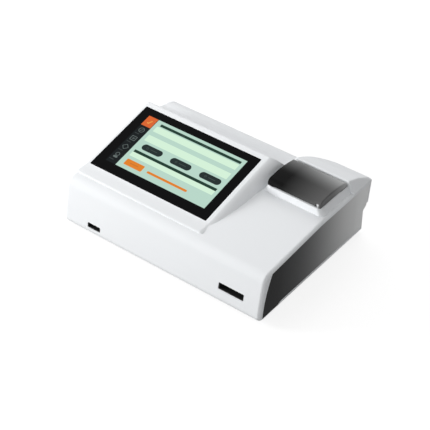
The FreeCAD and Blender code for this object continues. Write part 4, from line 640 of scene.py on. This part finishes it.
# Tone; centre in mm from the display's lower left corner; half size and corner radius in mm; turn in degrees
SCREEN_FIELDS = [
    ("band", (84.0, 42.95), (68.5, 42.95), 0.0, 0),
    ("field", (84.0, 71.5), (63.5, 4.6), 0.4, 0),
    ("field", (84.0, 54.8), (63.5, 5.2), 0.4, 0),
    ("field", (84.0, 24.4), (63.5, 3.6), 0.4, 0),
    ("bar", (85.2, 79.7), (62.2, 2.0), 0.3, 0),
    ("key_mark", (58.0, 79.7), (3.4, 0.35), 0.3, 0),
    ("key_mark", (92.0, 79.7), (4.2, 0.35), 0.3, 0),
    ("bar", (84.4, 30.1), (63.4, 2.1), 0.3, 0),
    ("pill", (40.6, 41.0), (15.4, 4.9), 4.9, 0),
    ("key_mark", (33.6, 41.0), (1.7, 1.7), 1.7, 0),
    ("pill", (33.6, 41.0), (1.1, 1.1), 1.1, 0),
    ("key_mark", (43.0, 41.0), (5.2, 0.45), 0.4, 0),
    ("pill", (85.0, 41.0), (15.4, 4.9), 4.9, 0),
    ("key_mark", (78.0, 41.0), (1.4, 1.4), 0.3, 0),
    ("pill", (78.0, 41.0), (0.8, 0.8), 0.1, 0),
    ("key_mark", (87.6, 41.0), (5.2, 0.45), 0.4, 0),
    ("pill", (130.0, 41.0), (15.6, 4.9), 4.9, 0),
    ("key_mark", (123.0, 41.0), (1.3, 1.3), 0.1, 45),
    ("pill", (123.0, 41.0), (0.7, 0.7), 0.1, 45),
    ("key_mark", (132.4, 41.0), (5.2, 0.45), 0.4, 0),
    ("accent", (36.4, 11.0), (13.6, 4.9), 1.4, 0),
    ("accent_mark", (36.4, 11.0), (6.6, 0.6), 0.5, 0),
    ("accent", (87.6, 10.4), (30.6, 1.7), 1.7, 0),
    ("strip", (7.75, 42.95), (7.75, 42.95), 0.0, 0),
    ("tile", (7.4, 77.4), (7.4, 8.5), 0.0, 0),
    ("tile_mark", (8.2, 77.0), (3.6, 0.9), 0.9, 62),
    ("tile_mark", (6.2, 75.0), (1.7, 0.7), 0.7, -20),
    ("icon", (7.2, 61.5), (4.0, 4.0), 4.0, 0),
    ("strip", (7.2, 61.5), (3.2, 3.2), 3.2, 0),
    ("icon", (7.2, 61.5), (2.4, 0.4), 0.3, 50),
    ("faint", (5.4, 54.4), (3.4, 0.5), 0.4, 0),
    ("icon", (7.0, 45.6), (4.1, 3.7), 1.0, 0),
    ("strip", (7.0, 45.6), (3.3, 2.9), 0.6, 0),
    ("icon", (7.6, 46.2), (1.9, 0.4), 0.3, 0),
    ("icon", (6.8, 44.7), (1.5, 0.4), 0.3, 0),
    ("faint", (5.2, 38.4), (3.4, 0.5), 0.4, 0),
    ("icon", (7.2, 29.6), (3.4, 3.4), 0.9, 45),
    ("strip", (7.2, 29.6), (2.7, 2.7), 0.5, 45),
    ("faint", (5.0, 22.6), (3.4, 0.5), 0.4, 0),
    ("icon", (6.8, 15.2), (2.9, 2.9), 2.9, 0),
    ("strip", (6.8, 15.2), (2.1, 2.1), 2.1, 0),
    ("icon", (6.8, 10.4), (3.2, 1.5), 1.5, 0),
    ("faint", (4.8, 5.4), (3.4, 0.5), 0.4, 0),
]


class ANALYZER_OT_screen(bpy.types.Operator):
    """Finish the glass with the lit display behind it"""

    bl_idname = "analyzer.screen"
    bl_label = "Finish screen"

    def execute(self, context):
        """Black border and fields of colour where the display shines through."""
        look = context.scene.analyzer_screen
        material, tree, shader = new_material("black_glass_and_display", tuple(look.glass), 0.04,
                                              specular=0.12)
        vector = object_coordinates(tree)
        flat = add_node(tree, "ShaderNodeMapping", (-900, 0), vector_type="TEXTURE")
        surface = Vector((GLASS_LOW.x, GLASS_LOW.y, GLASS_LOW.z + GLASS_THICK * math.cos(SCREEN_TILT)))
        along = Vector((0, math.cos(SCREEN_TILT), math.sin(SCREEN_TILT)))
        origin = surface + Vector((DISPLAY_MARGIN_X, 0, 0)) + along * DISPLAY_MARGIN_Y
        flat.inputs["Location"].default_value = origin
        flat.inputs["Rotation"].default_value = (SCREEN_TILT, 0, 0)
        flat.inputs["Scale"].default_value = (MM, MM, MM)
        tree.links.new(vector, flat.inputs["Vector"])
        place = flat.outputs["Vector"]
        last = None
        for index, (tone, centre, half, round_corner, turn) in enumerate(SCREEN_FIELDS):
            mask = place_group(tree, "rounded_field", (-600, 400 - 120 * index),
                               centre=(centre[0], centre[1], 0), half_size=(half[0], half[1], 0),
                               corner=round_corner, softness=EDGE_SOFTNESS)
            spot = place
            if turn:
                turned = add_node(tree, "ShaderNodeVectorRotate", (-750, 400 - 120 * index),
                                  rotation_type="Z_AXIS", center=(centre[0], centre[1], 0),
                                  angle=math.radians(-turn))
                tree.links.new(place, turned.inputs["Vector"])
                spot = turned.outputs["Vector"]
            tree.links.new(spot, mask.inputs["Vector"])
            mix = add_node(tree, "ShaderNodeMix", (-350 + 60 * index, 400 - 120 * index),
                           data_type="RGBA")
            tree.links.new(mask.outputs["Mask"], mix.inputs[0])
            if last is None:
                mix.inputs[6].default_value = (0, 0, 0, 1)
            else:
                tree.links.new(last, mix.inputs[6])
            mix.inputs[7].default_value = getattr(look, tone)
            last = mix.outputs[2]
        tree.links.new(last, shader.inputs["Emission Color"])
        shader.inputs["Emission Strength"].default_value = 1.0
        dress(material, "touch_glass")
        dress(gloss_plastic("display_white", (0.6, 0.62, 0.6, 1), 0.2), "lcd_module")
        return {"FINISHED"}


class ANALYZER_OT_printer(bpy.types.Operator):
    """Finish the smoked lid and what lies under it"""

    bl_idname = "analyzer.printer"
    bl_label = "Finish printer"

    def execute(self, context):
        """Smoked gloss lid with painted reflections, grey to the right and pale along the back; dark
        mechanism, steel and rubber platen.
        """
        look = context.scene.analyzer_panels
        material, tree, shader = new_material("smoked_lid", tuple(look.lid_dark), LID_ROUGHNESS,
                                              specular=0.12)
        vector = object_coordinates(tree)
        # painted reflection: the lid grows grey to the right and pale along its back
        along = gradient(tree, vector, "X", LID_LOW.x + LID_DARK_WIDTH, LID_HIGH.x, (-900, 250))
        mix = add_node(tree, "ShaderNodeMix", (-500, 250), data_type="RGBA")
        mix.inputs[6].default_value = look.lid_dark
        mix.inputs[7].default_value = look.lid_reflection_grey
        tree.links.new(along, mix.inputs[0])
        back = gradient(tree, vector, "Y", LID_LOW.y + LID_DARK_DEPTH, LID_HIGH.y + LID_REAR_REFLECTION_BEYOND,
                        (-900, 0))
        share = math_node(tree, "MULTIPLY_ADD", along, 1 - LID_REAR_REFLECTION_AT_LEFT, (-600, 0))
        share.node.inputs[2].default_value = LID_REAR_REFLECTION_AT_LEFT
        soft = math_node(tree, "POWER", back, LID_REAR_REFLECTION_POWER, (-600, -150))
        fade = math_node(tree, "MULTIPLY", soft, share, (-400, 0))
        rear = add_node(tree, "ShaderNodeMix", (-250, 250), data_type="RGBA")
        tree.links.new(fade, rear.inputs[0])
        tree.links.new(mix.outputs[2], rear.inputs[6])
        rear.inputs[7].default_value = look.lid_rear_reflection
        tree.links.new(rear.outputs[2], shader.inputs["Base Color"])
        wander_gloss(tree, shader, vector, LID_ROUGHNESS, 0.06, 0.015)
        dress(material, "printer_lid")
        dress(moulded_plastic("printer_moulding", (0.02, 0.02, 0.021, 1), 0.5), "printer_chassis")
        dress(gloss_plastic("heater_ceramic", (0.7, 0.66, 0.6, 1), 0.15), "thermal_head")
        dress(rubber("platen_rubber", (0.03, 0.03, 0.03, 1)), "platen_roller")
        dress(metal("ground_steel", (0.62, 0.62, 0.63, 1), 0.2), "platen_shaft", "lid_hinge_pin",
              "guide_rod_left", "guide_rod_right", "idler_pin")
        dress(moulded_plastic("bush_plastic", (0.7, 0.68, 0.6, 1), 0.4), "platen_bushes")
        dress(gloss_plastic("button_white", (0.8, 0.81, 0.82, 1), 0.2), "lid_button")
        return {"FINISHED"}


def finish_piece(piece, name, body, material, bevel=0.00008):
    """Round the edges, put the place in the mesh, and let the piece ride on its body."""
    deselect_all()
    piece.name = name
    piece.select_set(True)
    bpy.context.view_layer.objects.active = piece
    bpy.ops.object.transform_apply(location=True, rotation=True, scale=True)
    if bevel:
        rounding = piece.modifiers.new("rounding", "BEVEL")
        rounding.width = bevel
        rounding.segments = 2
        rounding.limit_method = "ANGLE"
        bpy.ops.object.modifier_apply(modifier=rounding.name)
    bpy.ops.object.shade_smooth_by_angle(angle=math.radians(35))
    piece.data.materials.clear()
    piece.data.materials.append(material)
    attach(piece, body)


def bent_strip(start, width, thick, steps):
    """Thin strip extruded step by step from its first run; a step is a way along Y and a way up."""
    deselect_all()
    first = steps[0]
    bpy.ops.mesh.primitive_cube_add(size=1.0, location=(start[0], start[1] + first[0] / 2, start[2]),
                                    scale=(width, abs(first[0]), thick))
    strip = bpy.context.active_object
    bpy.ops.object.transform_apply(location=True, rotation=True, scale=True)
    forward = 1 if first[0] > 0 else -1
    for step in steps[1:]:
        end = max(strip.data.polygons, key=lambda face: forward * face.center.y)
        for face in strip.data.polygons:
            face.select = face.index == end.index
        for edge in strip.data.edges:
            edge.select = False
        for point in strip.data.vertices:
            point.select = point.index in end.vertices
        bpy.ops.object.mode_set(mode="EDIT")
        bpy.ops.mesh.select_mode(type="FACE")
        bpy.ops.mesh.extrude_region_move(TRANSFORM_OT_translate={"value": (0, step[0], step[1])})
        bpy.ops.object.mode_set(mode="OBJECT")
    return strip


def repeat_along_x(piece, offsets):
    """Join a piece with copies of it at other places across the width."""
    copies = []
    for offset in offsets:
        copy = piece.copy()
        copy.data = piece.data.copy()
        copy.data.transform(Matrix.Translation((offset, 0, 0)))
        bpy.context.scene.collection.objects.link(copy)
        copies.append(copy)
    deselect_all()
    for copy in copies:
        copy.select_set(True)
    piece.select_set(True)
    bpy.context.view_layer.objects.active = piece
    bpy.ops.object.join()


def touch_point(node, start, direction):
    """Where a straight line first meets a CAD node, and the surface's direction there."""
    hit, place, normal, _ = frame["nodes"][node].ray_cast(Vector(start), Vector(direction))
    if not hit:
        raise RuntimeError("nothing of " + node + " lies in that direction")
    return place, normal


class ANALYZER_OT_rear(bpy.types.Operator):
    """Finish the rear panel, its sockets and the power switch"""

    bl_idname = "analyzer.rear"
    bl_label = "Finish rear panel"

    def execute(self, context):
        """Dark textured plate with tinned and black sockets."""
        dress(moulded_plastic("rear_dark", (0.03, 0.031, 0.033, 1), 0.55, 0.0008, 0.00002),
              "rear_panel", "switch_body")
        dress(moulded_plastic("connector_black", (0.012, 0.012, 0.012, 1), 0.4),
              "power_inlet", "chip_socket", "home_sensor")
        dress(metal("tinned_shell", (0.7, 0.7, 0.68, 1), 0.28),
              "usb_port_left", "usb_port_right", "network_port")
        dress(gloss_plastic("rocker_black", (0.012, 0.012, 0.012, 1), 0.18), "power_rocker")
        self.add_network_contacts()
        self.add_usb_contacts()
        self.add_rocker_marks()
        return {"FINISHED"}

    def add_network_contacts(self):
        """Eight gold springs that hang from the roof of the network socket."""
        low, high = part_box("network_port")
        gold = metal("contact_gold", (0.83, 0.56, 0.2, 1), 0.22, 0.0001, 20, 0.000002)
        middle = (low.x + high.x) / 2
        front = high.y - SPRING_INSET
        roof = touch_point("network_port", (middle, front, (low.z + high.z) / 2), (0, 0, 1))[0]
        first = middle - SPRING_PITCH * (SPRING_COUNT - 1) / 2
        spring = bent_strip((first, front, roof.z - SPRING_HANG), SPRING_WIDTH, SPRING_THICK,
                            SPRING_STEPS)
        repeat_along_x(spring, [SPRING_PITCH * count for count in range(1, SPRING_COUNT)])
        finish_piece(spring, "network_contacts", "base", gold)

    def add_usb_contacts(self):
        """Four gold strips under the tongue of each flat socket."""
        gold = bpy.data.materials["contact_gold"]
        for side in ("left", "right"):
            low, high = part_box("usb_port_" + side)
            middle = (low.x + high.x) / 2
            front = high.y - USB_STRIP_INSET
            below = (middle, front - MM, low.z + USB_FLOOR_CLEAR)
            tongue = touch_point("usb_port_" + side, below, (0, 0, 1))[0]
            first = USB_STRIP_PLACES[0]
            strip = bent_strip((middle + first, front, tongue.z - USB_STRIP_SINK), USB_STRIP_WIDTH,
                               USB_STRIP_THICK, USB_STRIP_STEPS)
            repeat_along_x(strip, [place - first for place in USB_STRIP_PLACES[1:]])
            finish_piece(strip, "usb_contacts_" + side, "base", gold, 0.00002)

    def add_rocker_marks(self):
        """Line and ring moulded on the two halves of the rocker."""
        white = gloss_plastic("mark_white", (0.75, 0.76, 0.76, 1), 0.3)
        low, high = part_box("power_rocker")
        height = (low.z + high.z) / 2
        quarter = (high.x - low.x) / 4
        middle = (low.x + high.x) / 2
        behind = high.y + MARK_PROBE
        spot, normal = touch_point("power_rocker", (middle + quarter, behind, height), (0, -1, 0))
        deselect_all()
        bpy.ops.mesh.primitive_torus_add(major_radius=RING_RADIUS, minor_radius=RING_WIRE,
                                         major_segments=64, minor_segments=12, location=spot)
        ring = bpy.context.active_object
        ring.scale = (1, 1, RING_FLATNESS)
        ring.rotation_euler = normal.to_track_quat("Z", "Y").to_euler()
        finish_piece(ring, "rocker_ring", "rocker", white, 0)
        spot, normal = touch_point("power_rocker", (middle - quarter, behind, height), (0, -1, 0))
        deselect_all()
        bpy.ops.mesh.primitive_cube_add(size=1.0, location=spot, scale=LINE_SIZE)
        line = bpy.context.active_object
        line.rotation_euler = normal.to_track_quat("Z", "Y").to_euler()
        finish_piece(line, "rocker_line", "rocker", white, 0.0001)


class ANALYZER_OT_inside(bpy.types.Operator):
    """Finish the boards, the card reader and the optics"""

    bl_idname = "analyzer.inside"
    bl_label = "Finish inside"

    def execute(self, context):
        """Folded steel, green boards, black optics."""
        dress(metal("folded_steel", (0.58, 0.58, 0.57, 1), 0.35, 0.0003, 50),
              "reader_chassis", "motor_bracket", "head_bridge", "lcd_bracket")
        dress(metal("zinc_screws", (0.6, 0.6, 0.58, 1), 0.3),
              "base_screws", "inner_screws", "bracket_screws")
        dress(metal("motor_can", (0.5, 0.5, 0.5, 1), 0.3), "stepper_motor")
        dress(metal("turned_aluminium", (0.72, 0.72, 0.73, 1), 0.25), "drive_pulley", "idler_pulley")
        dress(rubber("belt_rubber", (0.02, 0.02, 0.02, 1)), "drive_belt")
        dress(circuit_board("green_board"), "main_board", "chip_board", "detector_board")
        dress(moulded_plastic("carriage_grey", (0.05, 0.05, 0.055, 1), 0.45),
              "carriage", "belt_clamp")
        dress(moulded_plastic("tray_black", (0.008, 0.008, 0.008, 1), 0.5),
              "card_tray", "card_guide")
        dress(moulded_plastic("optics_black", (0.006, 0.006, 0.006, 1), 0.7), "optical_head")
        lens, _, shader = new_material("lens_glass", (0.95, 0.98, 0.98, 1), 0.02)
        shader.inputs["Transmission Weight"].default_value = 1.0
        dress(lens, "objective_lens")
        dress(gloss_plastic("dichroic_coat", (0.3, 0.12, 0.4, 1), 0.05), "dichroic_mirror")
        dress(gloss_plastic("filter_coat", (0.6, 0.12, 0.03, 1), 0.05), "emission_filter")
        dress(gloss_plastic("led_clear", (0.2, 0.3, 0.8, 1), 0.1), "excitation_led")
        return {"FINISHED"}


def aim_at(item, target, roll=0.0):
    """Turn a light or camera towards a point."""
    direction = Vector(target) - item.location
    turn = direction.to_track_quat("-Z", "Y").to_matrix().to_4x4()
    item.matrix_world = Matrix.Translation(item.location) @ turn @ Matrix.Rotation(roll, 4, "Z")


def add_area_light(name, place, target, size, power):
    """Large soft white light that looks at the object."""
    lamp = bpy.data.lights.new(name, "AREA")
    lamp.shape = "RECTANGLE"
    lamp.size = size[0]
    lamp.size_y = size[1]
    lamp.energy = power
    item = bpy.data.objects.new(name, lamp)
    bpy.context.scene.collection.objects.link(item)
    item.location = place
    aim_at(item, target)
    return item


class ANALYZER_OT_stage(bpy.types.Operator):
    """Add the floor, the lights, the surroundings and the camera"""

    bl_idname = "analyzer.stage"
    bl_label = "Add stage"

    def execute(self, context):
        """White floor, low light from the left, camera at the front right."""
        stage = context.scene.analyzer_stage
        self.add_floor(stage)
        self.add_surroundings(stage)
        for name, place, target, size, power in LIGHTS:
            lamp = add_area_light(name, place, target, size, getattr(stage, power))
            if name == "top_light":
                # it lies just where the glass and the lid mirror the camera
                lamp.visible_glossy = False
        self.add_camera(context, stage)
        return {"FINISHED"}

    def add_floor(self, stage):
        """White ground that keeps the object's shadow."""
        deselect_all()
        bpy.ops.mesh.primitive_plane_add(size=FLOOR_SIZE, location=(0, 0, -FLOOR_DROP))
        floor = bpy.context.active_object
        floor.name = "floor"
        grey = (FLOOR_GREY, FLOOR_GREY, FLOOR_GREY, 1)
        material, tree, shader = new_material("white_floor", grey, 0.9, specular=0.0)
        path = add_node(tree, "ShaderNodeLightPath", (-600, 300))
        seen = math_node(tree, "MAXIMUM", path.outputs["Is Camera Ray"], path.outputs["Is Glossy Ray"],
                         (-400, 300))
        seen = math_node(tree, "MAXIMUM", seen, path.outputs["Is Transmission Ray"], (-250, 300))
        glow = math_node(tree, "MULTIPLY", seen, stage.floor_glow, (-100, 300))
        shader.inputs["Emission Color"].default_value = (1, 1, 1, 1)
        tree.links.new(glow, shader.inputs["Emission Strength"])
        floor.data.materials.append(material)

    def add_surroundings(self, stage):
        """Pale surroundings, brightest at the horizon and at the left, and white to the camera."""
        world = bpy.data.worlds.new("studio")
        bpy.context.scene.world = world
        world.use_nodes = True
        tree = world.node_tree
        background = tree.nodes["Background"]
        place = add_node(tree, "ShaderNodeTexCoord", (-900, 0))
        split = add_node(tree, "ShaderNodeSeparateXYZ", (-700, 0))
        tree.links.new(place.outputs["Generated"], split.inputs[0])
        ramp = add_node(tree, "ShaderNodeValToRGB", (-400, 0))
        stops = ramp.color_ramp.elements
        stops[0].position = 0.0
        stops[0].color = (1, 1, 1, 1)
        stops[1].position = SKY_TOP_PLACE
        stops[1].color = (SKY_TOP, SKY_TOP, SKY_TOP, 1)
        tree.links.new(split.outputs["Z"], ramp.inputs["Fac"])
        tree.links.new(ramp.outputs["Color"], background.inputs["Color"])
        path = add_node(tree, "ShaderNodeLightPath", (-600, 300))
        strength = add_node(tree, "ShaderNodeMix", (-200, 300), data_type="FLOAT")
        strength.inputs[3].default_value = 1.0
        away = add_node(tree, "ShaderNodeMapRange", (-600, 150), interpolation_type="SMOOTHSTEP")
        away.inputs["From Min"].default_value = SKY_FADE_FROM
        away.inputs["From Max"].default_value = SKY_FADE_TO
        away.inputs["To Min"].default_value = stage.sky_strength
        away.inputs["To Max"].default_value = stage.sky_strength * SKY_FADE
        tree.links.new(split.outputs["X"], away.inputs["Value"])
        tree.links.new(away.outputs["Result"], strength.inputs[2])
        tree.links.new(path.outputs["Is Camera Ray"], strength.inputs[0])
        tree.links.new(strength.outputs[0], background.inputs["Strength"])

    def add_camera(self, context, stage):
        """Camera at the photograph's angle."""
        lens = bpy.data.cameras.new("camera")
        lens.sensor_width = 36.0
        lens.lens = stage.lens
        lens.clip_end = 50.0
        camera = bpy.data.objects.new("camera", lens)
        context.scene.collection.objects.link(camera)
        back = Vector((math.sin(stage.azimuth) * math.cos(stage.elevation),
                       -math.cos(stage.azimuth) * math.cos(stage.elevation), math.sin(stage.elevation)))
        target = Vector(stage.aim)
        camera.location = target + back * stage.distance
        aim_at(camera, target, stage.roll)
        context.scene.camera = camera
        context.scene.view_settings.view_transform = "Standard"


class ANALYZER_PT_panel(bpy.types.Panel):
    """Lists the steps that dress the analyzer"""

    bl_idname = "ANALYZER_PT_panel"
    bl_label = "Analyzer"
    bl_space_type = "VIEW_3D"
    bl_region_type = "UI"
    bl_category = "Analyzer"

    def draw(self, context):
        """One button for each step, then the settings."""
        for operator in OPERATORS:
            self.layout.operator(operator.bl_idname)
        for holder in ("analyzer_housing", "analyzer_panels", "analyzer_screen", "analyzer_stage"):
            settings = getattr(context.scene, holder)
            for key in settings.__annotations__:
                self.layout.prop(settings, key)


SETTINGS = {
    "analyzer_housing": AnalyzerHousingSettings,
    "analyzer_panels": AnalyzerPanelSettings,
    "analyzer_screen": AnalyzerScreenSettings,
    "analyzer_stage": AnalyzerStageSettings,
}
OPERATORS = [
    ANALYZER_OT_housing,
    ANALYZER_OT_side_panels,
    ANALYZER_OT_screen,
    ANALYZER_OT_printer,
    ANALYZER_OT_rear,
    ANALYZER_OT_inside,
    ANALYZER_OT_stage,
]


def register():
    """Make the settings, operators and panel known."""
    for holder in list(SETTINGS.values()) + OPERATORS + [ANALYZER_PT_panel]:
        bpy.utils.register_class(holder)
    for name, holder in SETTINGS.items():
        setattr(bpy.types.Scene, name, bpy.props.PointerProperty(type=holder))


def unregister():
    """Take the settings, operators and panel away again."""
    for name in SETTINGS:
        delattr(bpy.types.Scene, name)
    for holder in [ANALYZER_PT_panel] + OPERATORS[::-1] + list(SETTINGS.values())[::-1]:
        bpy.utils.unregister_class(holder)


def main():
    """Dress the analyzer step by step."""
    register()
    for operator in OPERATORS:
        group, step = operator.bl_idname.split(".")
        getattr(getattr(bpy.ops, group), step)()


if __name__ == "__main__":
    main()
